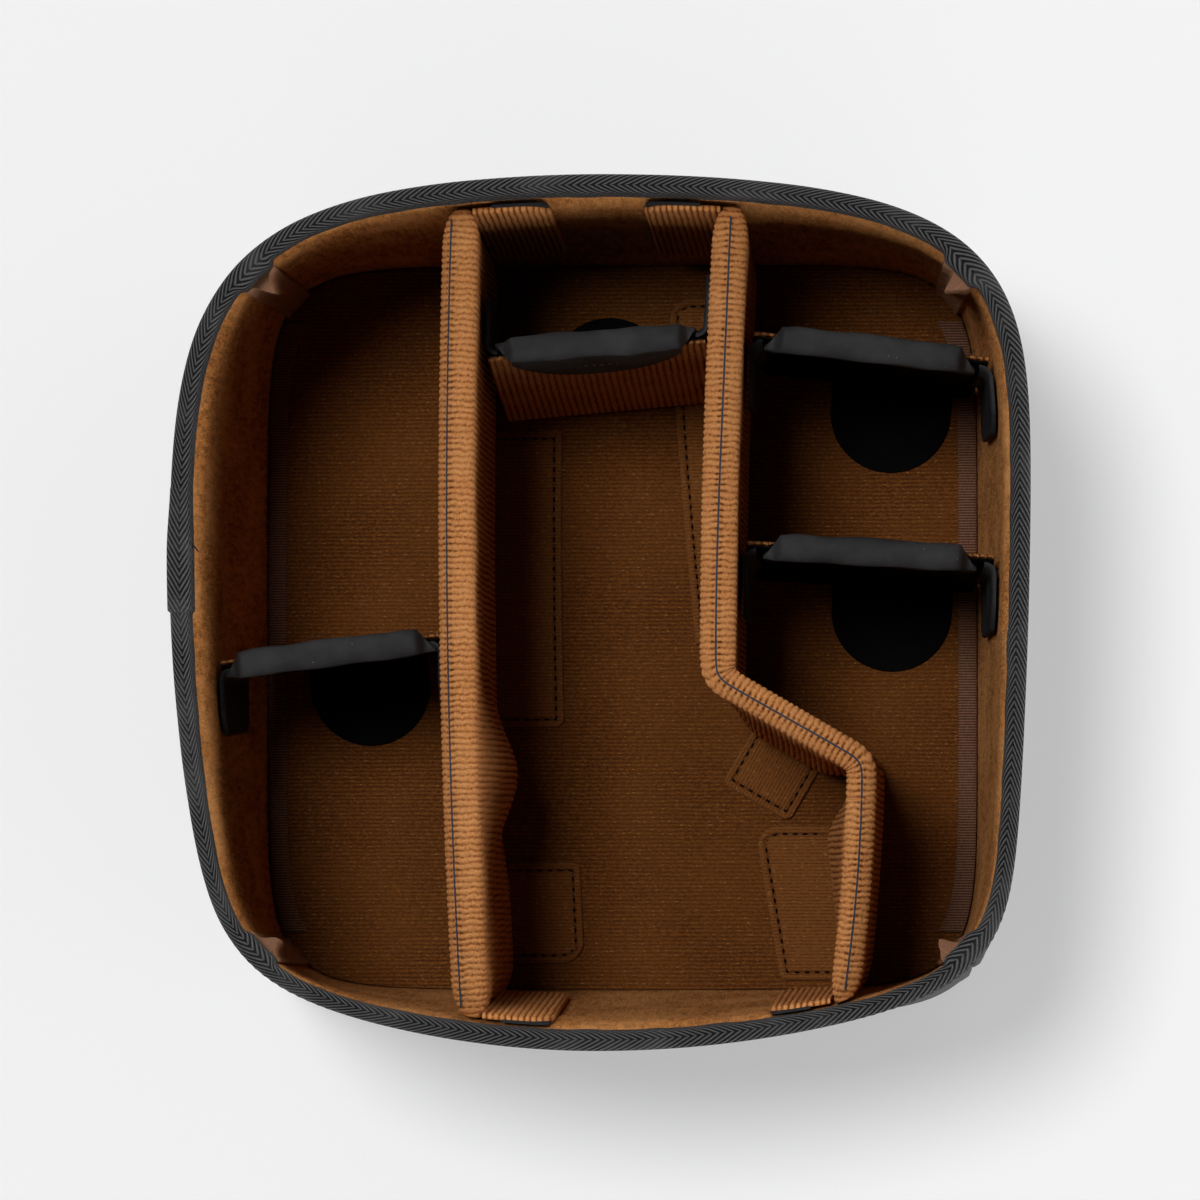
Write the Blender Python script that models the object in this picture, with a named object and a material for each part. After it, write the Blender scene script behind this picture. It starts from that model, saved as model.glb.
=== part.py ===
"""Camera bag insert: a padded open tub with a taped rim, two padded main dividers and four small
dividers, whose flaps, tabs and tongues fold on sewn lines.

Units are metres. +X is the tub's right, +Y its rear and +Z up, and the tub stands on Z = 0.
"""

import math

import bmesh
import bpy
from mathutils import Matrix, Vector

# Tub, outside sizes over the rim tape
HEIGHT = 0.140
BASE_HALF_WIDTH = 0.1275
BASE_HALF_DEPTH = 0.130
RIM_HALF_WIDTH = 0.1443
RIM_HALF_DEPTH = 0.1431
# Power of the rounded outline: 2 is an ellipse, and a high power is nearly a square
BASE_POWER = 8.0
REAR_RIGHT_POWER = 5.8
REAR_LEFT_POWER = 5.6
FRONT_LEFT_POWER = 9.0
FRONT_RIGHT_POWER = 9.0
# How far the soft rim leaves that outline: its sides draw together from rear to front, and all
# four of its edges bow
LEFT_NARROW_SHARE = 0.062
RIGHT_NARROW_SHARE = 0.050
REAR_BOW_SHARE = 0.123
FRONT_BOW_SHARE = 0.179
LEFT_BOW_SHARE = 0.096
RIGHT_BOW_SHARE = 0.025
# From the middle of the whole insert to the middle of the outline
OFFSET_ACROSS = -0.0002
OFFSET_ALONG = 0.0

# Layers of the wall and the floor, from the outside in
GAP = 0.0003
TAPE_THICKNESS = 0.0006
SKIN_THICKNESS = 0.0008
WALL_FOAM = 0.0034
WALL_LINING = 0.0010
BASE_SKIN = 0.0012
BASE_EDGE = 0.0012
FLOOR_FOAM = 0.0052
FLOOR_LINING = 0.0010

SKIN_OUT = TAPE_THICKNESS + GAP
SKIN_IN = SKIN_OUT + SKIN_THICKNESS
FOAM_OUT = SKIN_IN + GAP
FOAM_IN = FOAM_OUT + WALL_FOAM
LINING_OUT = FOAM_IN + GAP
LINING_IN = LINING_OUT + WALL_LINING
TAPE_IN_OUT = LINING_IN + GAP
TAPE_IN_IN = TAPE_IN_OUT + TAPE_THICKNESS
FOAM_LOW = BASE_SKIN + GAP
FOAM_TOP = FOAM_LOW + FLOOR_FOAM
FLOOR_LOW = FOAM_TOP + GAP
FLOOR_TOP = FLOOR_LOW + FLOOR_LINING
WALL_TOP = HEIGHT - TAPE_THICKNESS - GAP

# Rim tape: how far each leg comes down the wall, its folded edge, and its lapped end
TAPE_DROP = 0.009
TAPE_ROUND = 0.0007
LAP_START = 0.0
LAP_LENGTH = 0.041

# Tape that closes each corner inside, with the fold that stands proud of it
CORNER_TAPE_WIDTH = 0.011
CORNER_TAPE_BEHIND = 0.0005
CORNER_TAPE_THICKNESS = 0.0008
CORNER_FOLD_LOW = 0.0004
CORNER_FOLD_HIGH = 0.0040

# Tape over the floor's side seams
SEAM_TAPE_WIDTH = 0.0045
SEAM_TAPE_BESIDE = 0.0008
SEAM_TAPE_THICKNESS = 0.0008
SEAM_TAPE_HALF_LENGTH = 0.104

# What a divider keeps from the wall, so that it lifts out past the rim tape
SLIDE_CLEARANCE = 0.0012
# What the run beyond the second fold keeps from the front wall, because it swings past it
SWING_CLEARANCE = 0.0020
# What a folding piece keeps from the face beside its fold
FOLD_CLEARANCE = 0.0013

# Main dividers
MAIN_BELOW_RIM = 0.012
MAIN_TOP_HALF = 0.0059
MAIN_FOOT_HALF = 0.0042
MAIN_WAIST = 0.0006
FRONT_TOP_HALF = 0.0049

LEFT_REAR_X = -0.0455
LEFT_FRONT_X = -0.0421
LEFT_BOW = -0.0031
BUCKLE_REACH = 0.0100
BUCKLE_SHARE = 0.70
BUCKLE_SPREAD_SHARE = 0.075
LEFT_FRONT_FLARE = 0.0026

RIGHT_REAR_X = 0.0435
RIGHT_BOW = -0.0012
DIAGONAL_TOP_HALF = 0.0048
FOLD_ONE_X = 0.0387
FOLD_ONE_Y = -0.0210
FOLD_TWO_X = 0.0858
FOLD_TWO_Y = -0.0486
RIGHT_FRONT_X = 0.0798
FRONT_BOW = 0.0012
# From a fold line to where the panel beside it is full thickness
FOLD_ONE_REACH = 0.0066
FOLD_TWO_REACH = 0.0060
DIAGONAL_FLARE = 0.0031
FRONT_FLARE_NEAR = 0.0120
FRONT_FLARE_FAR = 0.0030

# End flaps of the main dividers, which lie on the front and rear walls
END_FLAP_THICKNESS = 0.0018
END_FLAP_BEHIND = 0.0006
END_FLAP_LOW = 0.036
END_FLAP_BELOW_RIM = 0.014
END_FLAP_CORNER = 0.010
REAR_FLAP_LENGTH = 0.022
LEFT_FRONT_FLAP_LENGTH = 0.0195
RIGHT_FRONT_FLAP_LENGTH = 0.017

# Floor tabs of the main dividers
TAB_THICKNESS = 0.0016
LEFT_REAR_TAB_FROM = 0.067
LEFT_REAR_TAB_TO = -0.0342
LEFT_REAR_TAB_REACH = 0.0212
LEFT_FRONT_TAB_FROM = -0.0805
LEFT_FRONT_TAB_TO = -0.1147
LEFT_FRONT_TAB_REACH = 0.0225
RIGHT_REAR_TAB_FROM = 0.112
RIGHT_REAR_TAB_TO = -0.006
RIGHT_REAR_TAB_REACH_FROM = 0.0205
RIGHT_REAR_TAB_REACH_TO = 0.0078
DIAGONAL_TAB_FROM = 0.0126
DIAGONAL_TAB_TO = 0.0391
DIAGONAL_TAB_REACH = 0.0215
FRONT_TAB_FROM = 0.0209
FRONT_TAB_TO = 0.0726
FRONT_TAB_REACH_FROM = 0.0222
FRONT_TAB_REACH_TO = 0.0178
SMALL_TAB_CORNER = 0.0030
ROUND_TAB_CORNER = 0.0080

# Small dividers
SMALL_TOP = 0.104
SMALL_BOARD = 0.0032
SMALL_FACE = 0.0006
SMALL_SHOULDER = 0.0045
SMALL_CREASE = 0.0012
# What the leaning divider's middle plane keeps from the tab under it
LEANING_FOOT = 0.0008
COVER_HALF_WIDTH = 0.0272
COVER_THICKNESS = 0.0012
COVER_SWELL = 0.0022
COVER_DROP = 0.023
COVER_SIDE_DROP = 0.009
COVER_BACK_DROP = 0.010
SMALL_FLAP_THICKNESS = 0.0015
SMALL_FLAP_LENGTH = 0.0195
SMALL_FLAP_LOW = 0.054
SMALL_FLAP_HIGH = 0.098
SMALL_FLAP_CORNER = 0.006
TONGUE_THICKNESS = 0.0008
TONGUE_LENGTH = 0.0275
TONGUE_HALF_WIDTH = 0.0205
# y of each small divider's foot and top edge, where they meet what stands at its left and right
CENTRE_REAR_FOOT_LEFT = 0.0716
CENTRE_REAR_FOOT_RIGHT = 0.0780
CENTRE_REAR_TOP_LEFT = 0.0871
CENTRE_REAR_TOP_RIGHT = 0.0927
RIGHT_REAR_FOOT_LEFT = 0.0888
RIGHT_REAR_FOOT_RIGHT = 0.0800
RIGHT_REAR_TOP_LEFT = 0.0924
RIGHT_REAR_TOP_RIGHT = 0.0834
RIGHT_FRONT_FOOT_LEFT = 0.0182
RIGHT_FRONT_FOOT_RIGHT = 0.0140
RIGHT_FRONT_TOP_LEFT = 0.0232
RIGHT_FRONT_TOP_RIGHT = 0.0183
LEFT_FRONT_FOOT_LEFT = -0.0135
LEFT_FRONT_FOOT_RIGHT = -0.0055
LEFT_FRONT_TOP_LEFT = -0.0166
LEFT_FRONT_TOP_RIGHT = -0.0075
# Where a tongue's middle lies, as a share of its divider's width
TONGUE_MIDDLE_SHARE = 0.5
TONGUE_ASIDE_SHARE = 0.63

MAIN_TOP = HEIGHT - MAIN_BELOW_RIM
END_FLAP_HIGH = HEIGHT - END_FLAP_BELOW_RIM
MAIN_FOOT = FLOOR_TOP + GAP
TAB_LOW = FLOOR_TOP + GAP
TAB_TOP = TAB_LOW + TAB_THICKNESS
SEAM_TAPE_LOW = FLOOR_TOP + GAP
SEAM_TAPE_TOP = SEAM_TAPE_LOW + SEAM_TAPE_THICKNESS

# How finely round shapes are cut
WALL_COLUMNS = 14
WALL_ROWS = 3
PANEL_STATIONS = 18
CROWN_STEPS = 6
FOOT_LINE_STEPS = 5
HALVINGS = 40

FINISHES = {
    "coated_skin": ((0.020, 0.020, 0.022), 0.55),
    "foam": ((0.045, 0.045, 0.048), 0.90),
    "brushed_lining": ((0.42, 0.19, 0.07), 0.95),
    "floor_loop": ((0.30, 0.14, 0.05), 0.95),
    "twill_tape": ((0.035, 0.036, 0.038), 0.80),
    "brown_tape": ((0.16, 0.075, 0.05), 0.60),
    "ribbed_cloth": ((0.45, 0.21, 0.085), 0.95),
    "black_face": ((0.014, 0.014, 0.016), 0.50),
}


def mix(low, high, share):
    """The value that lies the given share of the way from low to high."""
    return low + (high - low) * share


def smooth(share):
    """A share from 0 to 1, eased at both ends."""
    share = min(max(share, 0.0), 1.0)
    return share * share * (3 - 2 * share)


def bump(distance):
    """A bell curve: 1 at the middle, and almost 0 two units away."""
    return math.exp(-distance * distance)


# Materials and objects

def material(finish):
    """The material of one finish, made the first time that it is asked for."""
    found = bpy.data.materials.get(finish)
    if found:
        return found
    colour, roughness = FINISHES[finish]
    made = bpy.data.materials.new(finish)
    made.use_nodes = True
    shader = made.node_tree.nodes["Principled BSDF"]
    shader.inputs["Base Color"].default_value = (*colour, 1.0)
    shader.inputs["Roughness"].default_value = roughness
    shader.inputs["Metallic"].default_value = 0.0
    made.diffuse_color = (*colour, 1.0)
    return made


def frame_at(name, place, parent):
    """An empty that carries the pieces of one sub-assembly. Its place is in the tub's own frame."""
    empty = bpy.data.objects.new(name, None)
    empty.location = place
    bpy.context.scene.collection.objects.link(empty)
    empty.parent = parent
    if parent.parent:
        empty.matrix_parent_inverse = Matrix.Translation(-parent.location)
    return empty


def whole_insert():
    """The empty that carries the whole insert, set so that the insert's own middle is at the origin."""
    empty = bpy.data.objects.new("insert", None)
    empty.location = (OFFSET_ACROSS, OFFSET_ALONG, 0)
    bpy.context.scene.collection.objects.link(empty)
    return empty


def piece(name, shape, finish, carrier, origin=None, axis=None):
    """Turns a bmesh made in world places into an object, with its origin at the given point and its
    own Z along the given axis, where it has one."""
    bmesh.ops.recalc_face_normals(shape, faces=shape.faces[:])
    place = Matrix.Translation(origin if origin else carrier.location)
    if axis:
        place = place @ axis.normalized().to_track_quat("Z", "Y").to_matrix().to_4x4()
    shape.transform(place.inverted())
    mesh = bpy.data.meshes.new(name)
    shape.to_mesh(mesh)
    shape.free()
    mesh.shade_smooth()
    mesh.set_sharp_from_angle(angle=math.radians(40))
    mesh.materials.append(material(finish))
    made = bpy.data.objects.new(name, mesh)
    bpy.context.scene.collection.objects.link(made)
    made.parent = carrier
    made.matrix_parent_inverse = Matrix.Translation(-carrier.location)
    made.matrix_basis = place
    return made


# Shapes

def grid_sheet(columns, rows, front, back):
    """A closed sheet. A grid of faces makes its front, and extruding them makes its back. front and
    back give the point at a share across and a share up, each from 0 to 1."""
    shape = bmesh.new()
    column_of = shape.verts.layers.int.new("column")
    row_of = shape.verts.layers.int.new("row")
    lines = []
    for row in range(rows + 1):
        line = []
        for column in range(columns + 1):
            vert = shape.verts.new(front(column / columns, row / rows))
            vert[column_of] = column
            vert[row_of] = row
            line.append(vert)
        lines.append(line)
    for low, high in zip(lines, lines[1:]):
        for column in range(columns):
            shape.faces.new((low[column], low[column + 1], high[column + 1], high[column]))
    grown = bmesh.ops.extrude_face_region(shape, geom=shape.faces[:])
    for vert in grown["geom"]:
        if isinstance(vert, bmesh.types.BMVert):
            vert.co = back(vert[column_of] / columns, vert[row_of] / rows)
    return shape


def section_loft(sections):
    """A closed solid. The first section is a face, and extruding it carries it through the rest."""
    shape = bmesh.new()
    number = shape.verts.layers.int.new("number")
    start = []
    for index, point in enumerate(sections[0]):
        vert = shape.verts.new(point)
        vert[number] = index
        start.append(vert)
    first = shape.faces.new(start)
    end = first
    for section in sections[1:]:
        grown = bmesh.ops.extrude_face_region(shape, geom=[end])["geom"]
        if end is not first:
            shape.faces.remove(end)
        for item in grown:
            if isinstance(item, bmesh.types.BMVert):
                item.co = section[item[number]]
            elif isinstance(item, bmesh.types.BMFace):
                end = item
    return shape


def closed_ring(sections):
    """A ring whose last section joins its first. Each section is a closed loop of points."""
    shape = bmesh.new()
    loops = [[shape.verts.new(point) for point in section] for section in sections]
    for near, far in zip(loops, loops[1:] + loops[:1]):
        for index in range(len(near)):
            after = (index + 1) % len(near)
            shape.faces.new((near[index], near[after], far[after], far[index]))
    return shape


def cut_plate(outline, corners, low, high):
    """A flat plate from a plan outline. corners maps a point's number to its corner's radius."""
    shape = bmesh.new()
    verts = [shape.verts.new((x, y, low)) for x, y in outline]
    shape.faces.new(verts)
    for number, radius in corners.items():
        if radius:
            bmesh.ops.bevel(shape, geom=[verts[number]], offset=radius, segments=4, profile=0.5,
                            affect="VERTICES")
    grown = bmesh.ops.extrude_face_region(shape, geom=shape.faces[:])
    risen = [item for item in grown["geom"] if isinstance(item, bmesh.types.BMVert)]
    bmesh.ops.translate(shape, verts=risen, vec=(0, 0, high - low))
    return shape


# The tub's own form

def ring_point(angle, height, inset):
    """The point of the tub's outline in a direction, drawn in by inset. The outline grows from the
    base to the rim, and its rounding, its narrowing and its bows come in on the way."""
    share = height / HEIGHT
    half_width = mix(BASE_HALF_WIDTH, RIM_HALF_WIDTH, share)
    half_depth = mix(BASE_HALF_DEPTH, RIM_HALF_DEPTH, share)
    cosine = math.cos(angle)
    sine = math.sin(angle)
    if sine > 0:
        rim_power = REAR_RIGHT_POWER if cosine > 0 else REAR_LEFT_POWER
    else:
        rim_power = FRONT_RIGHT_POWER if cosine > 0 else FRONT_LEFT_POWER
    power = 1 / mix(1 / BASE_POWER, 1 / rim_power, share)
    across = abs(cosine / (half_width - inset)) ** power
    along = abs(sine / (half_depth - inset)) ** power
    reach = (across + along) ** (-1 / power)
    x = reach * cosine
    y = reach * sine
    narrow = (RIGHT_NARROW_SHARE if x > 0 else LEFT_NARROW_SHARE) * (1 - y / half_depth) / 2
    end_bow = (REAR_BOW_SHARE if y > 0 else FRONT_BOW_SHARE) * (x / half_width) ** 2
    side_bow = (RIGHT_BOW_SHARE if x > 0 else LEFT_BOW_SHARE) * (y / half_depth) ** 2
    across = x * (1 - share * narrow) * (1 - share * side_bow)
    return Vector((across, y * (1 - share * end_bow), height))


def wall_crossing(turn_of, axis, aim, height, inset):
    """The outline's point whose coordinate on an axis is aim. Halves the range of turns from the
    middle of a wall until it is found."""
    low = -math.pi / 2
    high = math.pi / 2
    for _ in range(HALVINGS):
        middle = (low + high) / 2
        if ring_point(turn_of(middle), height, inset)[axis] < aim:
            low = middle
        else:
            high = middle
    return ring_point(turn_of(low), height, inset)


def side_wall(side, y, height, inset):
    """x of a side wall at y. side is -1 at the left and 1 at the right."""
    def turn_of(turn):
        return turn if side > 0 else math.pi - turn
    return wall_crossing(turn_of, 1, y, height, inset).x


def end_wall(end, x, height, inset):
    """y of an end wall at x. end is -1 at the front and 1 at the rear."""
    def turn_of(turn):
        return end * (math.pi / 2 - turn)
    return wall_crossing(turn_of, 0, x, height, inset).y


def wall_turn(middle, share):
    """Direction of a wall's column. Columns crowd towards the corners, where the outline turns."""
    return middle + math.pi / 4 * math.sin((share - 1 / 2) * math.pi)


def ring_turns():
    """Directions of all the walls' columns, once round the tub."""
    shares = [column / WALL_COLUMNS for column in range(WALL_COLUMNS)]
    return [wall_turn(quarter * math.pi / 2, share) for quarter in range(4) for share in shares]


def wall_layer(name, middle, outer, inner, top, finish, tub):
    """One layer of one wall, mitred at the corners."""
    mitre = 1 - 4 / math.pi * GAP / (2 * RIM_HALF_WIDTH)

    def surface(inset):
        def point(across, up):
            angle = mix(middle, wall_turn(middle, across), mitre)
            return ring_point(angle, mix(FOAM_LOW, top, up), inset)
        return point

    piece(name, grid_sheet(WALL_COLUMNS, WALL_ROWS, surface(outer), surface(inner)), finish, tub)


def floor_plate(name, levels, finish, tub):
    """A plate that fills the tub's outline. levels holds a height and an inset for each section."""
    sections = []
    for height, inset in levels:
        sections.append([ring_point(turn, height, inset) for turn in ring_turns()])
    piece(name, section_loft(sections), finish, tub)


def rim_section():
    """Inset and height of each point of the folded tape's section, an upside-down U."""
    low = HEIGHT - TAPE_DROP
    under = HEIGHT - TAPE_THICKNESS
    shoulder = HEIGHT - TAPE_ROUND
    outer = [(0.0, low), (0.0, shoulder), (TAPE_ROUND, HEIGHT)]
    inner = [(TAPE_IN_IN - TAPE_ROUND, HEIGHT), (TAPE_IN_IN, shoulder), (TAPE_IN_IN, low)]
    lining = [(TAPE_IN_OUT, low), (TAPE_IN_OUT, under), (TAPE_THICKNESS, under), (TAPE_THICKNESS, low)]
    return outer + inner + lining


def rim_tape(tub):
    """The tape folded over the walls' top edges, all the way round."""
    sections = []
    for turn in ring_turns():
        sections.append([ring_point(turn, height, inset) for inset, height in rim_section()])
    piece("rim_tape", closed_ring(sections), "twill_tape", tub)


def rim_tape_lap(tub):
    """The tape's own end, lapped over its start on the left side."""
    path = rim_section()[:6]
    count = len(path) - 1

    def layer(proud):
        def point(across, up):
            number = round(up * count)
            inset, height = path[number]
            outward = -proud if number < 3 else proud
            rise = 0.0 if number in (0, count) else proud
            y = LAP_START + LAP_LENGTH * across
            shifted = min(height + rise, HEIGHT + proud)
            return Vector((side_wall(-1, y, height, inset + outward), y, shifted))
        return point

    shape = grid_sheet(6, count, layer(GAP + TAPE_THICKNESS), layer(GAP))
    piece("rim_tape_lap", shape, "twill_tape", tub)


def corner_tape(name, middle, tub):
    """Tape down one inside corner, with a fold along it that grows towards the rim."""
    low = FLOOR_TOP + GAP
    high = HEIGHT - TAPE_DROP - GAP
    half_turn = CORNER_TAPE_WIDTH / (2 * BASE_HALF_WIDTH * math.sqrt(2))

    def back(across, up):
        inset = LINING_IN + CORNER_TAPE_BEHIND
        return ring_point(middle + half_turn * (2 * across - 1), mix(low, high, up), inset)

    def front(across, up):
        fold = mix(CORNER_FOLD_LOW, CORNER_FOLD_HIGH, up) * bump(3 * (2 * across - 1))
        inset = LINING_IN + CORNER_TAPE_BEHIND + CORNER_TAPE_THICKNESS + fold
        return ring_point(middle + half_turn * (2 * across - 1), mix(low, high, up), inset)

    piece(name, grid_sheet(8, 3, front, back), "brown_tape", tub)


def seam_tape(name, side, tub):
    """Tape on the floor along a side wall. side is -1 at the left and 1 at the right."""
    def layer(height):
        def point(across, up):
            y = mix(-SEAM_TAPE_HALF_LENGTH, SEAM_TAPE_HALF_LENGTH, up)
            inset = LINING_IN + SEAM_TAPE_BESIDE + SEAM_TAPE_WIDTH * across
            return Vector((side_wall(side, y, height, inset), y, height))
        return point

    piece(name, grid_sheet(1, 14, layer(SEAM_TAPE_TOP), layer(SEAM_TAPE_LOW)), "brown_tape", tub)


def build_tub(whole):
    """Skins, foam and linings of the four walls and the base, and the tapes that bind them."""
    tub = frame_at("tub", (0, 0, 0), whole)
    walls = {"right": 0.0, "rear": math.pi / 2, "left": math.pi, "front": -math.pi / 2}
    for side, middle in walls.items():
        wall_layer(side + "_outer_skin", middle, SKIN_OUT, SKIN_IN, WALL_TOP, "coated_skin", tub)
        wall_layer(side + "_wall_foam", middle, FOAM_OUT, FOAM_IN, WALL_TOP, "foam", tub)
        wall_layer(side + "_wall_lining", middle, LINING_OUT, LINING_IN, WALL_TOP, "brushed_lining", tub)
    base_levels = [(0.0, SKIN_OUT + BASE_EDGE), (BASE_SKIN, SKIN_OUT)]
    foam_levels = [(FOAM_LOW, LINING_IN + GAP), (FOAM_TOP, LINING_IN + GAP)]
    floor_levels = [(FLOOR_LOW, LINING_IN + GAP), (FLOOR_TOP, LINING_IN + GAP)]
    floor_plate("base_outer_skin", base_levels, "coated_skin", tub)
    floor_plate("base_foam", foam_levels, "foam", tub)
    floor_plate("floor_lining", floor_levels, "floor_loop", tub)
    rim_tape(tub)
    rim_tape_lap(tub)
    corners = {"rear_right": 1, "rear_left": 3, "front_left": 5, "front_right": 7}
    for name, eighths in corners.items():
        corner_tape(name + "_corner_tape", eighths * math.pi / 4, tub)
    seam_tape("left_floor_tape", -1, tub)
    seam_tape("right_floor_tape", 1, tub)


# Main dividers

class Panel:
    """One straight run of a padded divider, from its start to its end in plan. Distances to its side
    are positive on the left hand of someone who walks from the start to the end. start_fold and
    end_fold are the reaches of its folds, and 0 where it ends at a wall."""

    def __init__(self, start, end, top_half, bow=0.0, start_fold=0.0, end_fold=0.0,
                 clearance=SLIDE_CLEARANCE):
        self.start = Vector(start)
        self.end = Vector(end)
        self.along = (self.end - self.start).normalized()
        self.aside = Vector((-self.along.y, self.along.x))
        self.length = (self.end - self.start).length
        self.top_half = top_half
        self.bow = bow
        self.start_fold = start_fold
        self.end_fold = end_fold
        self.clearance = clearance

    def half(self, up):
        """Half thickness at a share of the height: drawn in at the waist, and slimmer at the foot."""
        waist = MAIN_WAIST * math.sin(math.pi * up)
        return mix(MAIN_FOOT_HALF, self.top_half, up) - waist

    def wall_distance(self, corner, towards, height, aside):
        """Distance along the run to the front or rear wall, at a height and a distance to the side.
        corner is the run's end there, and towards is 1 at the rear wall and -1 at the front one."""
        x = corner.x + self.aside.x * aside
        edge = end_wall(towards, x, height, LINING_IN + self.clearance)
        return (edge - self.start.y - self.aside.y * aside) / self.along.y

    def ends_at(self, height, aside):
        """Distances along the run where the padding starts and ends."""
        first = self.start_fold - self.top_half
        last = self.length - (self.end_fold - self.top_half)
        if not self.start_fold:
            first = self.wall_distance(self.start, 1, height, aside)
        if not self.end_fold:
            last = self.wall_distance(self.end, -1, height, aside)
        return first, last

    def centre(self, distance):
        """Plan point of the centre line at a distance from the start."""
        share = distance / self.length
        return self.start + self.along * distance + self.aside * self.bow * 4 * share * (1 - share)

    def face_x(self, y, side, half):
        """Where the face on a side, -1 or 1, crosses y, at a half thickness."""
        distance = (self.start.y - y) / -self.along.y
        return self.centre(distance).x + side * half / abs(self.along.y)


def panel_section(panel, distance_share, narrow, flare):
    """One closed section of a padded panel: up one face, over the crown, and down the other. flare
    gives what a face adds at a share of the height, for side -1 and 1."""
    spots = []
    crown = MAIN_TOP - panel.top_half
    for side in (1, -1):
        face = []
        for share in (0.0, 0.12, 0.3, 0.5, 0.7, 0.86):
            height = mix(MAIN_FOOT, crown, share)
            face.append((side * (panel.half(share) + flare(side, share)), height))
        spots += face if side == 1 else []
        if side == 1:
            for step in range(CROWN_STEPS + 1):
                turn = math.pi * step / CROWN_STEPS
                spots.append((panel.top_half * math.cos(turn), crown + panel.top_half * math.sin(turn)))
        else:
            spots += face[::-1]
    loop = []
    for aside, height in spots:
        first, last = panel.ends_at(height, aside * narrow)
        spot = panel.centre(mix(first, last, distance_share)) + panel.aside * aside * narrow
        loop.append(Vector((spot.x, spot.y, height)))
    return loop


def padded_panel(name, panel, carrier, flare, origin=None, axis=None):
    """A padded panel, squared off at a wall and rounded where it meets a fold."""
    first, last = panel.ends_at(MAIN_TOP, 0.0)
    run = last - first
    stations = []
    turns = (12, 35, 60)
    for degrees in turns if panel.start_fold else ():
        turn = math.radians(degrees)
        stations.append((panel.top_half * (1 - math.cos(turn)) / run, math.sin(turn)))
    start_share = panel.top_half / run if panel.start_fold else 0.0
    end_share = 1 - panel.top_half / run if panel.end_fold else 1.0
    count = max(4, round(PANEL_STATIONS * run / (2 * RIM_HALF_DEPTH)))
    for number in range(count + 1):
        stations.append((mix(start_share, end_share, number / count), 1.0))
    for degrees in turns[::-1] if panel.end_fold else ():
        turn = math.radians(degrees)
        stations.append((1 - panel.top_half * (1 - math.cos(turn)) / run, math.sin(turn)))
    sections = []
    for share, narrow in stations:
        def flare_here(side, up, share=share):
            return flare(share, side, up)
        sections.append(panel_section(panel, share, narrow, flare_here))
    return piece(name, section_loft(sections), "ribbed_cloth", carrier, origin, axis)


def end_flap(name, face_x, towards, end, length, carrier):
    """A flap that lies on the front or rear wall and folds at the divider's end. towards is the way
    it points in x, and end is 1 on the rear wall and -1 on the front one."""
    root = face_x + towards * FOLD_CLEARANCE

    def layer(inset):
        def point(across, up):
            x = root + towards * length * across
            over = max(0.0, length * across - length + END_FLAP_CORNER)
            cut = END_FLAP_CORNER - math.sqrt(max(0.0, END_FLAP_CORNER ** 2 - over ** 2))
            height = mix(END_FLAP_LOW + cut, END_FLAP_HIGH - cut, up)
            return Vector((x, end_wall(end, x, height, inset), height))
        return point

    outer = LINING_IN + END_FLAP_BEHIND
    shape = grid_sheet(8, 3, layer(outer), layer(outer + END_FLAP_THICKNESS))
    middle = outer + END_FLAP_THICKNESS / 2
    low = Vector((root, end_wall(end, root, END_FLAP_LOW, middle), END_FLAP_LOW))
    high = Vector((root, end_wall(end, root, END_FLAP_HIGH, middle), END_FLAP_HIGH))
    axis = (low - high) if towards * end > 0 else (high - low)
    return piece(name, shape, "ribbed_cloth", carrier, (low + high) / 2, axis)


def floor_tab(name, roots, outward, reaches, radii, carrier):
    """A tab that lies on the floor and folds at the divider's foot. roots are points along the fold,
    and reaches and radii belong to its first and last ones. Its own Z runs from one end of the fold
    to the other, so that a positive turn lifts it."""
    outline = [*roots, roots[-1] + outward * reaches[1], roots[0] + outward * reaches[0]]
    corners = {len(roots): radii[1], len(roots) + 1: radii[0]}
    shape = cut_plate(outline, corners, TAB_LOW, TAB_TOP)
    height = (TAB_LOW + TAB_TOP) / 2
    middle = (roots[0] + roots[-1]) / 2
    lifting = Vector((outward.x, outward.y, 0)).cross(Vector((0, 0, 1)))
    fold = roots[-1] - roots[0]
    axis = Vector((fold.x, fold.y, 0))
    if axis.dot(lifting) < 0:
        axis = -axis
    return piece(name, shape, "ribbed_cloth", carrier, Vector((middle.x, middle.y, height)), axis)


def foot_line(panel, side, from_y, to_y, beside):
    """Plan points along a divider's foot, the given distance beside its face on one side."""
    line = []
    for number in range(FOOT_LINE_STEPS + 1):
        y = mix(from_y, to_y, number / FOOT_LINE_STEPS)
        line.append(Vector((panel.face_x(y, side, MAIN_FOOT_HALF) + side * beside, y)))
    return line


def left_panel():
    """The straight divider on the left."""
    rear = end_wall(1, LEFT_REAR_X, MAIN_TOP, LINING_IN)
    front = end_wall(-1, LEFT_FRONT_X, MAIN_TOP, LINING_IN)
    return Panel((LEFT_REAR_X, rear), (LEFT_FRONT_X, front), MAIN_TOP_HALF, LEFT_BOW)


def right_rear_panel():
    """The first run of the jogged divider on the right."""
    start = (RIGHT_REAR_X, end_wall(1, RIGHT_REAR_X, MAIN_TOP, LINING_IN))
    return Panel(start, (FOLD_ONE_X, FOLD_ONE_Y), MAIN_TOP_HALF, RIGHT_BOW,
                 end_fold=FOLD_ONE_REACH)


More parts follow.
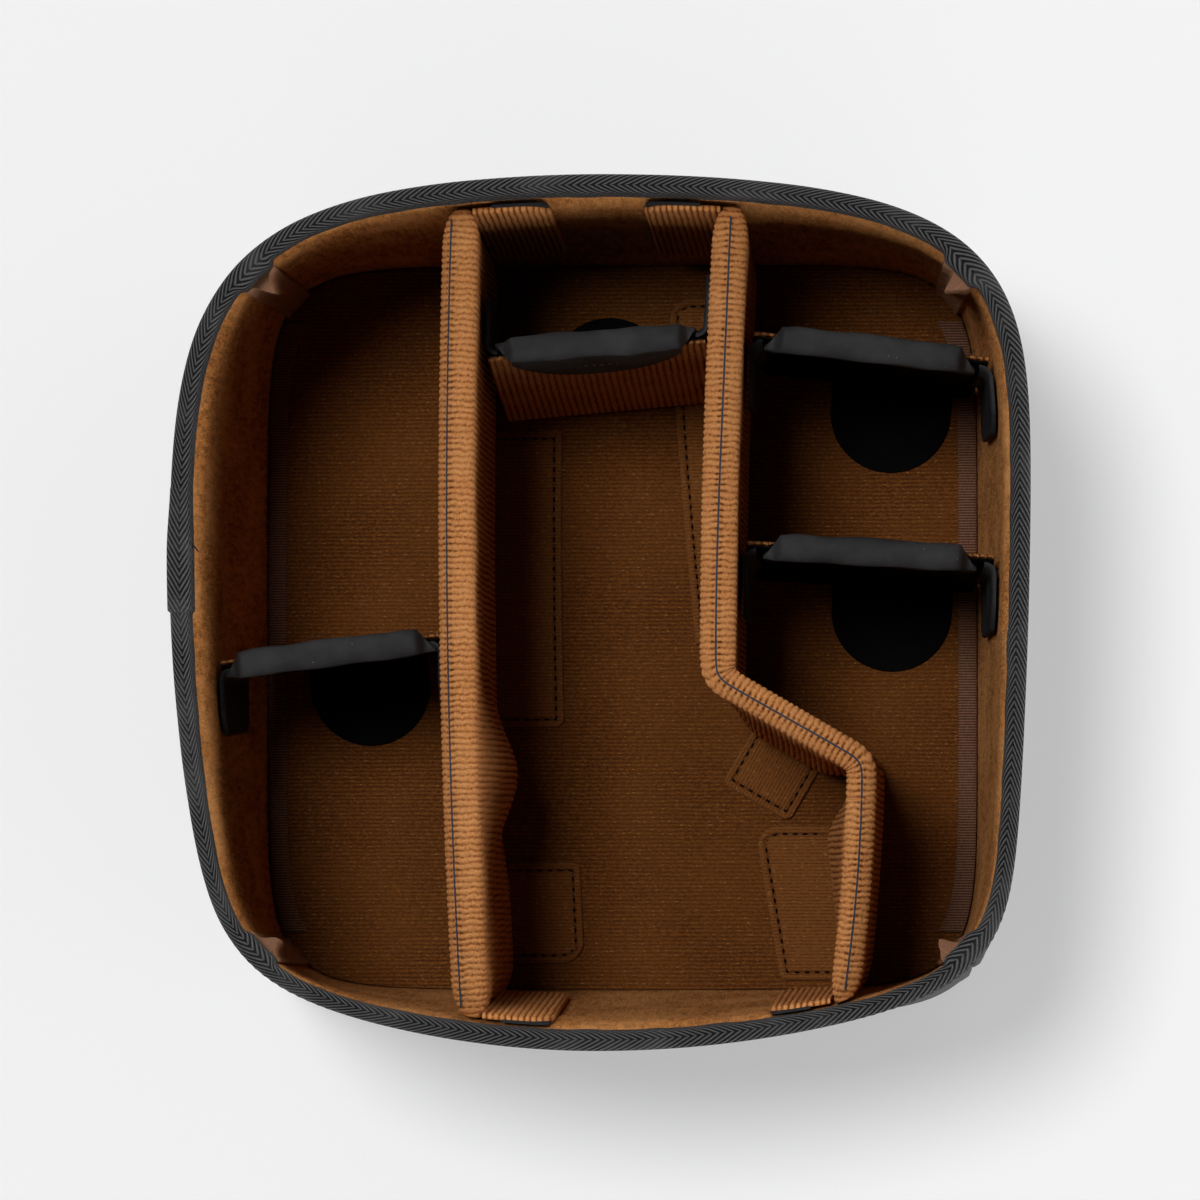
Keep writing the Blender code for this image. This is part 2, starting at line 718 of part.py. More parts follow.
def build_left_divider(whole):
    """The straight padded divider, with its end flaps and floor tabs."""
    panel = left_panel()
    carrier = frame_at("left_divider", (*panel.centre(panel.length / 2), MAIN_FOOT), whole)

    def flare(share, side, up):
        if side < 0:
            return -BUCKLE_REACH / 4 * bump((share - BUCKLE_SHARE) / BUCKLE_SPREAD_SHARE) * up * (1 - up)
        buckle = BUCKLE_REACH * bump((share - BUCKLE_SHARE) / BUCKLE_SPREAD_SHARE)
        spread = LEFT_FRONT_FLARE * smooth((share - 0.76) / 0.12) * (1 - up)
        return buckle * math.sin(math.pi * up) ** 1.5 + spread

    padded_panel("left_divider_panel", panel, carrier, flare)
    rear_face = panel.face_x(panel.start.y, 1, panel.top_half)
    front_face = panel.face_x(panel.end.y, 1, panel.top_half)
    end_flap("left_divider_rear_flap", rear_face, 1, 1, REAR_FLAP_LENGTH, carrier)
    end_flap("left_divider_front_flap", front_face, 1, -1, LEFT_FRONT_FLAP_LENGTH, carrier)
    rear_roots = foot_line(panel, 1, LEFT_REAR_TAB_FROM, LEFT_REAR_TAB_TO, FOLD_CLEARANCE)
    front_roots = foot_line(panel, 1, LEFT_FRONT_TAB_FROM, LEFT_FRONT_TAB_TO,
                            LEFT_FRONT_FLARE + FOLD_CLEARANCE)
    outward = Vector((1, 0))
    floor_tab("left_divider_rear_tab", rear_roots, outward, [LEFT_REAR_TAB_REACH] * 2,
              (0.0, SMALL_TAB_CORNER), carrier)
    floor_tab("left_divider_front_tab", front_roots, outward, [LEFT_FRONT_TAB_REACH] * 2,
              (SMALL_TAB_CORNER, ROUND_TAB_CORNER), carrier)


def build_right_divider(whole):
    """The jogged padded divider: three runs joined by two upright folds, with end flaps and tabs."""
    rear = right_rear_panel()
    carrier = frame_at("right_divider", (*rear.centre(rear.length / 2), MAIN_FOOT), whole)
    fold_one = Vector((FOLD_ONE_X, FOLD_ONE_Y))
    fold_two = Vector((FOLD_TWO_X, FOLD_TWO_Y))
    upright = Vector((0, 0, 1))
    middle = (MAIN_FOOT + MAIN_TOP) / 2

    padded_panel("right_divider_rear_panel", rear, carrier, lambda share, side, up: 0.0)
    rear_face = rear.face_x(rear.start.y, -1, rear.top_half)
    end_flap("right_divider_rear_flap", rear_face, -1, 1, REAR_FLAP_LENGTH, carrier)
    roots = foot_line(rear, -1, RIGHT_REAR_TAB_FROM, RIGHT_REAR_TAB_TO, FOLD_CLEARANCE)
    floor_tab("right_divider_rear_tab", roots, Vector((-1, 0)),
              (RIGHT_REAR_TAB_REACH_FROM, RIGHT_REAR_TAB_REACH_TO), (ROUND_TAB_CORNER, 0.0), carrier)

    diagonal = Panel(fold_one, fold_two, DIAGONAL_TOP_HALF, start_fold=FOLD_ONE_REACH,
                     end_fold=FOLD_TWO_REACH)
    second = frame_at("right_divider_fold_one", (*fold_one, middle), carrier)

    def diagonal_flare(share, side, up):
        near = smooth(share / 0.3) * smooth((1 - share) / 0.3)
        return DIAGONAL_FLARE * near * (1 - up) if side < 0 else 0.0

    padded_panel("right_divider_diagonal_panel", diagonal, second, diagonal_flare,
                 Vector((*fold_one, middle)), upright)
    beside = MAIN_FOOT_HALF + DIAGONAL_FLARE + FOLD_CLEARANCE
    roots = []
    for distance in (DIAGONAL_TAB_FROM, DIAGONAL_TAB_TO):
        roots.append(diagonal.centre(distance) - diagonal.aside * beside)
    floor_tab("right_divider_diagonal_tab", roots, -diagonal.aside, [DIAGONAL_TAB_REACH] * 2,
              [SMALL_TAB_CORNER] * 2, second)

    wall = end_wall(-1, RIGHT_FRONT_X, MAIN_TOP, LINING_IN)
    front = Panel(fold_two, (RIGHT_FRONT_X, wall), FRONT_TOP_HALF, FRONT_BOW,
                  start_fold=FOLD_TWO_REACH, clearance=SWING_CLEARANCE)
    third = frame_at("right_divider_fold_two", (*fold_two, middle), second)

    def front_flare(share, side, up):
        if side > 0:
            return 0.0
        spread = mix(FRONT_FLARE_NEAR, FRONT_FLARE_FAR, smooth((share - 0.15) / 0.85))
        return spread * smooth((share - 0.04) / 0.14) * (1 - up)

    padded_panel("right_divider_front_panel", front, third, front_flare,
                 Vector((*fold_two, middle)), upright)
    end_face = front.face_x(front.end.y, -1, front.top_half + FRONT_FLARE_FAR / 2)
    end_flap("right_divider_front_flap", end_face, -1, -1, RIGHT_FRONT_FLAP_LENGTH, third)
    roots = []
    for distance, spread in ((FRONT_TAB_FROM, FRONT_FLARE_NEAR), (FRONT_TAB_TO, FRONT_FLARE_FAR)):
        beside = MAIN_FOOT_HALF + spread + FOLD_CLEARANCE
        roots.append(front.centre(distance) - front.aside * beside)
    floor_tab("right_divider_front_tab", roots, Vector((-1, 0)),
              (FRONT_TAB_REACH_FROM, FRONT_TAB_REACH_TO), (ROUND_TAB_CORNER, SMALL_TAB_CORNER), third)


# Small dividers

class Neighbour:
    """What a small divider's side stands against, at its left or its right: a side wall of the tub,
    or the face of a main divider. at gives its x, with side -1 for a thing on the left."""

    def __init__(self, side, panel=None):
        self.side = side
        self.panel = panel

    def at(self, y, height, clearance):
        if self.panel:
            face = self.panel.face_x(y, -self.side, self.panel.top_half)
            return face - self.side * clearance
        return side_wall(self.side, y, height, LINING_IN + clearance)


class SmallDivider:
    """A thin panel between two neighbours. facing is the way its black face points in y."""

    def __init__(self, name, facing, left, right, foot_y, top_y, foot, tongue_share):
        self.name = name
        self.facing = facing
        self.neighbours = (left, right)
        self.foot_y = foot_y
        self.top_y = top_y
        self.foot = foot
        self.tongue_share = tongue_share
        self.corners = []
        beside = SLIDE_CLEARANCE + SMALL_FLAP_THICKNESS / 2
        for height, ends in ((foot, foot_y), (SMALL_TOP, top_y)):
            for neighbour, y in zip(self.neighbours, ends):
                self.corners.append(Vector((neighbour.at(y, height, beside), y, height)))
        across = self.corners[1] - self.corners[0]
        up = (self.corners[2] + self.corners[3] - self.corners[0] - self.corners[1]) / 2
        self.normal = across.cross(up).normalized()
        if self.normal.y * facing < 0:
            self.normal = -self.normal

    def spot(self, across, up, proud):
        """A point of the panel at a share across from the left and a share up from the foot, moved
        off its middle plane towards the black face. The panel is creased at half its height."""
        low = self.corners[0].lerp(self.corners[1], across)
        high = self.corners[2].lerp(self.corners[3], across)
        crease = SMALL_CREASE * (1 - abs(2 * up - 1))
        return low.lerp(high, up) + self.normal * (proud - crease)

    def width(self):
        """Distance between the two sides, at half the height."""
        return (self.spot(1, 1 / 2, 0.0) - self.spot(0, 1 / 2, 0.0)).length

    def cover_share(self):
        """Half the cover's width, as a share of the panel's width."""
        return COVER_HALF_WIDTH / self.width()

    def top_share(self, across):
        """How far up the panel reaches: full height under the cover, and lower at its shoulders."""
        lower = SMALL_SHOULDER / (SMALL_TOP - self.foot)
        beyond = (abs(across - 1 / 2) - self.cover_share()) / 0.05
        return 1 - lower * smooth(beyond)


def small_sheet(divider, front, back):
    """The panel's shape between two distances off its middle plane."""
    def layer(proud):
        def point(across, up):
            reach = divider.top_share(across) * up
            return divider.spot(across, reach, proud)
        return point
    return grid_sheet(16, 4, layer(front), layer(back))


def small_cover(divider):
    """The grip folded over the top edge: a deep rounded lobe on the cloth side, and a short hem on
    the black side."""
    inner = SMALL_BOARD / 2 + SMALL_FACE + 2 * GAP
    height = SMALL_TOP - divider.foot

    def layer(thickness, swell):
        def point(across, up):
            offset = 2 * across - 1
            place = 1 / 2 + offset * divider.cover_share()
            lobe = math.sqrt(max(0.0, 1 - abs(offset) ** 3))
            drop = mix(COVER_SIDE_DROP, COVER_DROP, lobe)
            risen = swell * smooth(4 * min(up, 1 - up))
            reach = inner + thickness + risen
            leg = 1 + GAP / height
            if up < 1 / 4:
                return divider.spot(place, mix(leg - drop / height, leg, up * 4), -reach)
            if up > 3 / 4:
                return divider.spot(place, mix(leg, leg - COVER_BACK_DROP / height, up * 4 - 3), reach)
            turn = 2 * math.pi * (up - 1 / 4)
            centre = divider.spot(place, leg, -reach * math.cos(turn))
            return centre + Vector((0, 0, (thickness + risen + GAP) * math.sin(turn)))
        return point

    return grid_sheet(10, 8, layer(COVER_THICKNESS, COVER_SWELL), layer(0.0, 0.0))


def small_flap(divider, number, name, carrier):
    """A side flap, folded back along its neighbour. number is 0 for the left one and 1 for the right."""
    neighbour = divider.neighbours[number]
    root_proud = SMALL_BOARD / 2 + SMALL_FACE + FOLD_CLEARANCE
    span = SMALL_TOP - divider.foot

    def root_y(height):
        return divider.spot(number, (height - divider.foot) / span, root_proud).y

    def layer(clearance):
        def point(across, up):
            over = max(0.0, SMALL_FLAP_LENGTH * across - SMALL_FLAP_LENGTH + SMALL_FLAP_CORNER)
            cut = SMALL_FLAP_CORNER - math.sqrt(max(0.0, SMALL_FLAP_CORNER ** 2 - over ** 2))
            height = mix(SMALL_FLAP_LOW + cut, SMALL_FLAP_HIGH - cut, up)
            y = root_y(height) + divider.facing * SMALL_FLAP_LENGTH * across
            return Vector((neighbour.at(y, height, clearance), y, height))
        return point

    near = SLIDE_CLEARANCE
    shape = grid_sheet(6, 3, layer(near), layer(near + SMALL_FLAP_THICKNESS))
    middle = near + SMALL_FLAP_THICKNESS / 2
    ends = []
    for height in (SMALL_FLAP_LOW, SMALL_FLAP_HIGH):
        y = root_y(height)
        ends.append(Vector((neighbour.at(y, height, middle), y, height)))
    axis = ends[1] - ends[0]
    if neighbour.side * divider.facing < 0:
        axis = -axis
    return piece(divider.name + name, shape, "black_face", carrier, (ends[0] + ends[1]) / 2, axis)


def small_tongue(divider, carrier):
    """The round-ended tongue on the floor in front of the black face."""
    low = FLOOR_TOP + GAP
    across = (divider.corners[1] - divider.corners[0]).normalized()
    forward = Vector((divider.normal.x, divider.normal.y, 0)).normalized()
    root = divider.spot(divider.tongue_share, 0, SMALL_BOARD / 2 + SMALL_FACE + FOLD_CLEARANCE)
    outline = []
    straight = TONGUE_LENGTH - TONGUE_HALF_WIDTH
    turns = [math.pi * step / 12 for step in range(13)]
    rounded = [(TONGUE_HALF_WIDTH * math.cos(turn), straight + TONGUE_HALF_WIDTH * math.sin(turn))
               for turn in turns]
    for aside, ahead in [(TONGUE_HALF_WIDTH, 0.0)] + rounded + [(-TONGUE_HALF_WIDTH, 0.0)]:
        spot = root + across * aside + forward * ahead
        outline.append((spot.x, spot.y))
    shape = cut_plate(outline, {}, low, low + TONGUE_THICKNESS)
    origin = Vector((root.x, root.y, low + TONGUE_THICKNESS / 2))
    axis = forward.cross(Vector((0, 0, 1)))
    return piece(divider.name + "_tongue", shape, "black_face", carrier, origin, axis)


def small_dividers():
    """The four small dividers, each between its neighbours."""
    left = left_panel()
    right = right_rear_panel()
    on_tape = SEAM_TAPE_TOP + GAP
    on_tab = TAB_TOP + LEANING_FOOT
    left_wall = Neighbour(-1)
    right_wall = Neighbour(1)
    return (
        SmallDivider("centre_rear_divider", 1, Neighbour(-1, left), Neighbour(1, right),
                     (CENTRE_REAR_FOOT_LEFT, CENTRE_REAR_FOOT_RIGHT),
                     (CENTRE_REAR_TOP_LEFT, CENTRE_REAR_TOP_RIGHT), on_tab, TONGUE_MIDDLE_SHARE),
        SmallDivider("right_rear_divider", -1, Neighbour(-1, right), right_wall,
                     (RIGHT_REAR_FOOT_LEFT, RIGHT_REAR_FOOT_RIGHT),
                     (RIGHT_REAR_TOP_LEFT, RIGHT_REAR_TOP_RIGHT), on_tape, TONGUE_ASIDE_SHARE),
        SmallDivider("right_front_divider", -1, Neighbour(-1, right), right_wall,
                     (RIGHT_FRONT_FOOT_LEFT, RIGHT_FRONT_FOOT_RIGHT),
                     (RIGHT_FRONT_TOP_LEFT, RIGHT_FRONT_TOP_RIGHT), on_tape, TONGUE_ASIDE_SHARE),
        SmallDivider("left_front_divider", -1, left_wall, Neighbour(1, left),
                     (LEFT_FRONT_FOOT_LEFT, LEFT_FRONT_FOOT_RIGHT),
                     (LEFT_FRONT_TOP_LEFT, LEFT_FRONT_TOP_RIGHT), on_tape, TONGUE_MIDDLE_SHARE),
    )


def build_small_divider(divider, whole):
    """A small divider's board, black face, grip cover, side flaps and tongue."""
    carrier = frame_at(divider.name, divider.spot(1 / 2, 0, 0.0), whole)
    board = SMALL_BOARD / 2
    piece(divider.name + "_panel", small_sheet(divider, -board, board), "ribbed_cloth", carrier)
    face = small_sheet(divider, board + GAP, board + GAP + SMALL_FACE)
    piece(divider.name + "_black_face", face, "black_face", carrier)
    piece(divider.name + "_grip_cover", small_cover(divider), "black_face", carrier)
    small_flap(divider, 0, "_left_flap", carrier)
    small_flap(divider, 1, "_right_flap", carrier)
    small_tongue(divider, carrier)


def main():
    """Clears the scene and builds the insert."""
    for old in list(bpy.data.objects):
        bpy.data.objects.remove(old, do_unlink=True)
    whole = whole_insert()
    build_tub(whole)
    build_left_divider(whole)
    build_right_divider(whole)
    for divider in small_dividers():
        build_small_divider(divider, whole)


main()
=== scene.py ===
"""Looks of the camera bag insert: its cloth, foam and tape pieces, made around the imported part.

Units are metres, with +X to the insert's right, +Y to its rear and +Z up. Each piece is a set of grids
of points, worked out with numpy from the same sizes as the part, and carries a procedural finish.
"""

from __future__ import annotations

import logging
import math
from dataclasses import dataclass
from enum import Enum
from typing import Callable, Optional, Sequence

import bmesh
import bpy
import numpy as np
from mathutils import Matrix, Vector

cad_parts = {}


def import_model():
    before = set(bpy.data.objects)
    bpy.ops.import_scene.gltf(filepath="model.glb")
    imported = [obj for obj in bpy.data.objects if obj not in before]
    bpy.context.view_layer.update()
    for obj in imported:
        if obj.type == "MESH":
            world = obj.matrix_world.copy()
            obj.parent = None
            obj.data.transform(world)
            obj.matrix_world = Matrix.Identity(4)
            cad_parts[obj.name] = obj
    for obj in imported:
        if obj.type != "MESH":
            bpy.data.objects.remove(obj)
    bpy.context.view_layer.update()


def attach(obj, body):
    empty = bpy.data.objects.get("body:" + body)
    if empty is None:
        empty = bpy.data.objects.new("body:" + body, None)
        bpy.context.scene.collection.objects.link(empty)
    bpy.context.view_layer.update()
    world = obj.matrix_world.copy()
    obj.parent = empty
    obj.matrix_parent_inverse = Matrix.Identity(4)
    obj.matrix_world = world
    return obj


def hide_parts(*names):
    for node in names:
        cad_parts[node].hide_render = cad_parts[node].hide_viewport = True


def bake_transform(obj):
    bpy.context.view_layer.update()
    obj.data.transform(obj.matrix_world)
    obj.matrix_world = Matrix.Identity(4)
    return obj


LOG = logging.getLogger("insert")
Array = np.ndarray
Place = Callable[[Array, Array, Array], Array]
OFFSET = np.array((-0.0002, 0.0, 0.0))
UP = np.array((0.0, 0.0, 1.0))


def mix(low: Array, high: Array, share: Array) -> Array:
    """The value that lies the given share of the way from low to high."""
    return low + (high - low) * share


def smooth(share: Array) -> Array:
    """A share held between 0 and 1 and eased at both ends: 3s² - 2s³."""
    share = np.clip(share, 0.0, 1.0)
    return share * share * (3 - 2 * share)


def bump(distance: Array) -> Array:
    """A bell curve, e to the minus distance squared: 1 at the middle, almost 0 two units away."""
    return np.exp(-np.square(distance))


def arch(share: Array) -> Array:
    """Half a sine wave: 0 at the shares 0 and 1, and 1 between them."""
    return np.sin(math.pi * share)


def rounded(edge: Array, radius: float, depth: float = 1.0) -> Array:
    """A quarter circle's height over the distance in from an edge, 1 from its radius on."""
    return np.sqrt(1 - depth * np.clip(1 - edge / radius, 0, 1) ** 2)


def ribbing(distance: Array, pitch: float, power: float = 0.75) -> Array:
    """Ribs across a distance, 0 between and 1 on them: a power of the absolute sine."""
    return np.abs(np.sin(math.pi * distance / pitch)) ** power


def pair(first: Array, second: Array) -> Array:
    """Two coordinates side by side, such as the distances along and across a cloth."""
    return np.stack(np.broadcast_arrays(first, second), axis=-1)


def waves(across: Array, along: Array, seed: int) -> Array:
    """Slow unevenness of about -1 to 1.

    The sum of six plane sine waves, whose directions, lengths and phases come from the seed, over the
    root of their number.

    Args:
        across: First coordinate, in typical wavelengths.
        along: Second coordinate, in typical wavelengths.
        seed: Number that fixes the waves.

    Returns:
        The unevenness at each point.
    """
    chance = np.random.default_rng(seed)
    count = 6
    total = np.zeros(np.broadcast(across, along).shape)
    for _ in range(count):
        angle, phase = chance.uniform(0, 2 * math.pi, 2)
        rate = 2 * math.pi * chance.uniform(0.6, 1.6)
        total = total + np.sin(rate * (across * math.cos(angle) + along * math.sin(angle)) + phase)
    return total / math.sqrt(count)


def lengths(points: Array) -> Array:
    """Distance walked along a line of points, from 0 at the first one."""
    steps = np.linalg.norm(np.diff(points, axis=0), axis=-1)
    return np.concatenate([np.zeros((1,) + steps.shape[1:]), np.cumsum(steps, axis=0)])


def unit(vectors: Array) -> Array:
    """The vectors at length 1."""
    return vectors / np.maximum(np.linalg.norm(vectors, axis=-1, keepdims=True), 1e-12)


# Finishes


class Tree:
    """Shorthand for a node tree, in which every value is a socket, a number or a tuple."""

    tree: bpy.types.NodeTree

    def plug(self, value: object, socket: bpy.types.NodeSocket) -> None:
        """Gives a socket its value.

        Args:
            value: A socket to link, a number, or a tuple, a colour without its alpha.
            socket: The socket that takes it.
        """
        if isinstance(value, bpy.types.NodeSocket):
            self.tree.links.new(value, socket)
        else:
            socket.default_value = (*value, 1.0) if socket.type == "RGBA" else value

    def add(self, kind: str, inputs: dict, **settings: object) -> bpy.types.Node:
        """Adds a node.

        Args:
            kind: The node's type name without its ShaderNode part.
            inputs: Socket name or number to a value.
            settings: The node's own properties.

        Returns:
            The node.
        """
        node = self.tree.nodes.new("ShaderNode" + kind)
        for key, value in settings.items():
            setattr(node, key, value)
        for key, value in inputs.items():
            self.plug(value, node.inputs[key])
        return node

    def math(self, operation: str, first: object, second: object = 0.0, third: object = 0.0) -> object:
        """A Math node's result, held between 0 and 1 for no operation."""
        return self.add("Math", {0: first, 1: second, 2: third}, operation=operation).outputs[0]

    def times(self, first: object, second: object) -> object:
        """The product of two values."""
        return self.math("MULTIPLY", first, second)

    def plus(self, value: object, share: object, rest: object) -> object:
        """The value times its share, plus the rest."""
        return self.math("MULTIPLY_ADD", value, share, rest)

    def wave(self, distance: object, pitch: float) -> object:
        """A sine that repeats at every pitch of the distance."""
        return self.math("SINE", self.times(distance, 2 * math.pi / pitch))

    def scaled(self, vector: object, *scale: float) -> object:
        """The vector with its X, Y and Z scaled."""
        return self.add("Mapping", {"Vector": vector, "Scale": scale}).outputs[0]

    def noise(self, vector: object, scale: float, detail: float = 2.0, rough: float = 0.5) -> object:
        """Cloudy noise from about 0.3 to 0.7."""
        inputs = {"Vector": vector, "Scale": scale, "Detail": detail, "Roughness": rough}
        return self.add("TexNoise", inputs).outputs[0]

    def cells(self, vector: object, scale: float) -> object:
        """Distance to the nearest of many scattered points, in cells."""
        return self.add("TexVoronoi", {"Vector": vector, "Scale": scale}).outputs["Distance"]

    def step(self, value: object, low: float, high: float) -> object:
        """Eases a value into a share.

        Args:
            value: The value.
            low: Where the share is 0.
            high: Where it is 1, below or above low.

        Returns:
            The share, held between 0 and 1.
        """
        inputs = {"Value": value, "From Min": min(low, high), "From Max": max(low, high),
                  "To Min": 0.0 if low < high else 1.0, "To Max": 1.0 if low < high else 0.0}
        return self.add("MapRange", inputs, interpolation_type="SMOOTHSTEP").outputs[0]

    def blend(self, share: object, first: object, second: object, most: float = 1.0) -> object:
        """A colour the given share of the way from the first to the second, or most of that share."""
        share = share if most == 1.0 else self.times(share, most)
        return self.add("Mix", {0: share, 6: first, 7: second}, data_type="RGBA").outputs[2]

    def split(self, vector: object) -> Sequence[object]:
        """The X, Y and Z of a vector."""
        return self.add("SeparateXYZ", {0: vector}).outputs

    def cloth_map(self) -> object:
        """Distances along and across the piece's own cloth, in metres."""
        return self.add("UVMap", {}, uv_map="cloth").outputs[0]

    def place(self) -> object:
        """The point's place on the object, in metres."""
        return self.add("TexCoord", {}).outputs["Object"]

    def tone(self) -> object:
        """How high the point lies on the cloth's relief, from 0 to 1; low values get painted shade."""
        return self.add("Attribute", {}, attribute_name="tone").outputs["Fac"]


@dataclass
class Finish(Tree):
    """A finish: a named material, made the first time that a piece asks for it."""

    name: str

    def material(self) -> bpy.types.Material:
        """Finds the finish's material, or makes it.

        Returns:
            The material.
        """
        made = bpy.data.materials.get(self.name)
        if not made:
            made = bpy.data.materials.new(self.name)
            made.use_nodes = True
            self.tree = made.node_tree
            self.fill()
        return made

    def fill(self) -> None:
        """Fills the node tree. Each finish has its own."""
        raise NotImplementedError

    def paler(self, colour: tuple, gain: float) -> tuple:
        """The colour made brighter, or darker where the gain is below 1."""
        return tuple(gain * value for value in colour)

    def finish(self, colour: object, height: object, depth: float, rough: object, specular: float = 0.3,
               sheen: float = 0.0, sheen_rough: float = 0.5, sheen_tint: tuple = (1.0, 1.0, 1.0)) -> None:
        """Sets the shader.

        Args:
            colour: Colour socket or tuple.
            height: Relief for the bump.
            depth: The relief's depth, in metres.
            rough: Roughness socket or number.
            specular: Strength of the plain reflection, 0.5 for a common plastic.
            sheen: Weight of the fuzz's sheen.
            sheen_rough: Roughness of that sheen.
            sheen_tint: Colour of that sheen.
        """
        relief = self.add("Bump", {"Height": height, "Distance": depth, "Strength": 1.0})
        values = {"Base Color": colour, "Roughness": rough, "Specular IOR Level": specular,
                  "Sheen Weight": sheen, "Sheen Roughness": sheen_rough, "Sheen Tint": sheen_tint,
                  "Normal": relief.outputs[0]}
        for name, value in values.items():
            self.plug(value, self.tree.nodes["Principled BSDF"].inputs[name])


@dataclass
class CoatedCloth(Finish):
    """Fine plain weave with a dull coating, as on the outside of the tub."""

    colour: tuple = (0.020, 0.020, 0.022)
    pitch: float = 0.00055

    def fill(self) -> None:
        """Crossed sine threads for the weave, and slow noise for the coating's unevenness."""
        along, across, _ = self.split(self.cloth_map())
        weave = self.times(self.wave(along, self.pitch), self.wave(across, self.pitch))
        slow = self.noise(self.place(), 45.0, 3.0)
        height = self.plus(weave, 0.25, self.times(self.noise(self.place(), 900.0, 2.0), 0.6))
        colour = self.blend(self.step(slow, 0.35, 0.7), self.colour, self.paler(self.colour, 1.7))
        self.finish(colour, height, 0.00012, self.plus(slow, 0.25, 0.42), 0.45, 0.05, 0.4)


@dataclass
class FoamBoard(Finish):
    """Closed-cell foam board."""

    colour: tuple = (0.045, 0.045, 0.048)

    def fill(self) -> None:
        """Small cells as pits, with their walls paler."""
        cells = self.cells(self.place(), 1600.0)
        self.finish(self.blend(cells, self.colour, self.paler(self.colour, 1.6)), cells, 0.0003, 0.9)


@dataclass
class BrushedFelt(Finish):
    """Brushed loop cloth: short tangled fibres that catch the light."""

    colour: tuple = (0.480, 0.190, 0.050)
    shade: tuple = (0.200, 0.072, 0.017)
    fleck: tuple = (0.74, 0.37, 0.13)
    sheen: tuple = (1.0, 0.50, 0.20)

    def fill(self) -> None:
        """Fine noise for the tangle, slow noise for brushed patches, and scattered pale fibres."""
        place = self.place()
        down = self.scaled(place, 1.0, 1.0, 0.18)
        tangle = self.noise(down, 1250.0, 4.0, 0.7)
        lumps = self.noise(down, 480.0, 3.0, 0.6)
        relief = self.plus(lumps, 0.9, tangle)
        deep = self.blend(self.step(relief, 0.74, 1.12), self.shade, self.colour)
        patch = self.step(self.noise(place, 38.0, 3.0), 0.40, 0.66)
        worn = self.blend(patch, deep, self.blend(0.35, deep, self.fleck))
        specks = self.step(self.noise(down, 1700.0, 1.0), 0.62, 0.72)
        colour = self.blend(specks, worn, self.fleck, 0.55)
        self.finish(colour, relief, 0.0007, 0.95, 0.05, 0.10, 0.6, self.sheen)


@dataclass
class FineLoop(Finish):
    """Floor cloth: fine ribs that run from side to side, with pale loops scattered on them."""

    colour: tuple = (0.148, 0.050, 0.0095)
    shade: tuple = (0.060, 0.018, 0.0035)
    fleck: tuple = (0.42, 0.21, 0.065)
    sheen: tuple = (1.0, 0.62, 0.32)
    pitch: float = 0.00138

    def fill(self) -> None:
        """Ribs as a sine of Y whose line wanders with noise. Flecks are short, along the ribs."""
        place = self.place()
        wander = self.noise(self.scaled(place, 60.0, 400.0, 60.0), 1.0, 2.0)
        ribs = self.wave(self.plus(wander, 0.0010, self.split(place)[1]), self.pitch)
        loops = self.noise(self.scaled(place, 900.0, 1500.0, 900.0), 1.0, 3.0, 0.6)
        relief = self.plus(ribs, 0.11, loops)
        base = self.blend(self.step(relief, 0.30, 0.74), self.shade, self.colour)
        patch = self.step(self.noise(place, 30.0, 2.0), 0.35, 0.7)
        base = self.blend(patch, base, self.blend(0.3, base, self.colour))
        streaks = self.noise(self.scaled(place, 620.0, 2300.0, 620.0), 1.0, 2.0, 0.7)
        flecks = self.times(self.step(streaks, 0.60, 0.70), self.step(ribs, -0.2, 0.8))
        colour = self.blend(flecks, base, self.fleck, 0.75)
        self.finish(colour, relief, 0.0005, 0.92, 0.08, 0.12, 0.5, self.sheen)


@dataclass
class TabLoop(FineLoop):
    """Fine ribbed loop cloth of the floor tabs, with its ribs running outwards."""

    def fill(self) -> None:
        """The tone paints shade into the rib valleys and stitch groove, over noise drawn out along the
        ribs.
        """
        cloth = self.cloth_map()
        loops = self.noise(self.scaled(cloth, 1700.0, 800.0, 1.0), 1.0, 3.0, 0.65)
        lift = self.plus(self.tone(), 0.55, loops)
        colour = self.blend(self.step(lift, 0.45, 1.10), self.shade, self.colour)
        flecks = self.step(self.noise(self.scaled(cloth, 2200.0, 500.0, 1.0), 1.0, 2.0), 0.62, 0.72)
        colour = self.blend(flecks, colour, self.fleck, 0.5)
        self.finish(colour, loops, 0.0005, 0.92, 0.08, 0.15, 0.5, self.sheen)


@dataclass
class TwillTape(Finish):
    """Herringbone twill tape: slanted wales that turn back at each column's edge."""

    colour: tuple = (0.105, 0.105, 0.107)
    shade: tuple = (0.0025, 0.0025, 0.003)
    column: float = 0.0037
    pitch: float = 0.0025
    thread_pitch: float = 0.00062
    slope: float = 2.0

    def fill(self) -> None:
        """The wale's phase is the distance along plus slope times a triangle wave of the distance
        across, whose half period is one column."""
        along, across, _ = self.split(self.cloth_map())
        zigzag = self.math("PINGPONG", across, self.column)
        wales = self.wave(self.plus(zigzag, self.slope, along), self.pitch)
        spine = self.step(zigzag, 0.00035, 0.0)
        fuzz = self.noise(self.place(), 2200.0, 3.0, 0.7)
        body = self.plus(wales, 0.80, self.plus(self.wave(along, self.thread_pitch), 0.16, fuzz))
        relief = self.plus(spine, -0.5, body)
        colour = self.blend(self.step(relief, 0.05, 0.95), self.shade, self.colour)
        worn = self.step(self.noise(self.place(), 60.0, 3.0), 0.45, 0.75)
        colour = self.blend(worn, colour, self.paler(self.colour, 1.6), 0.25)
        self.finish(colour, relief, 0.0006, 0.8, 0.15)


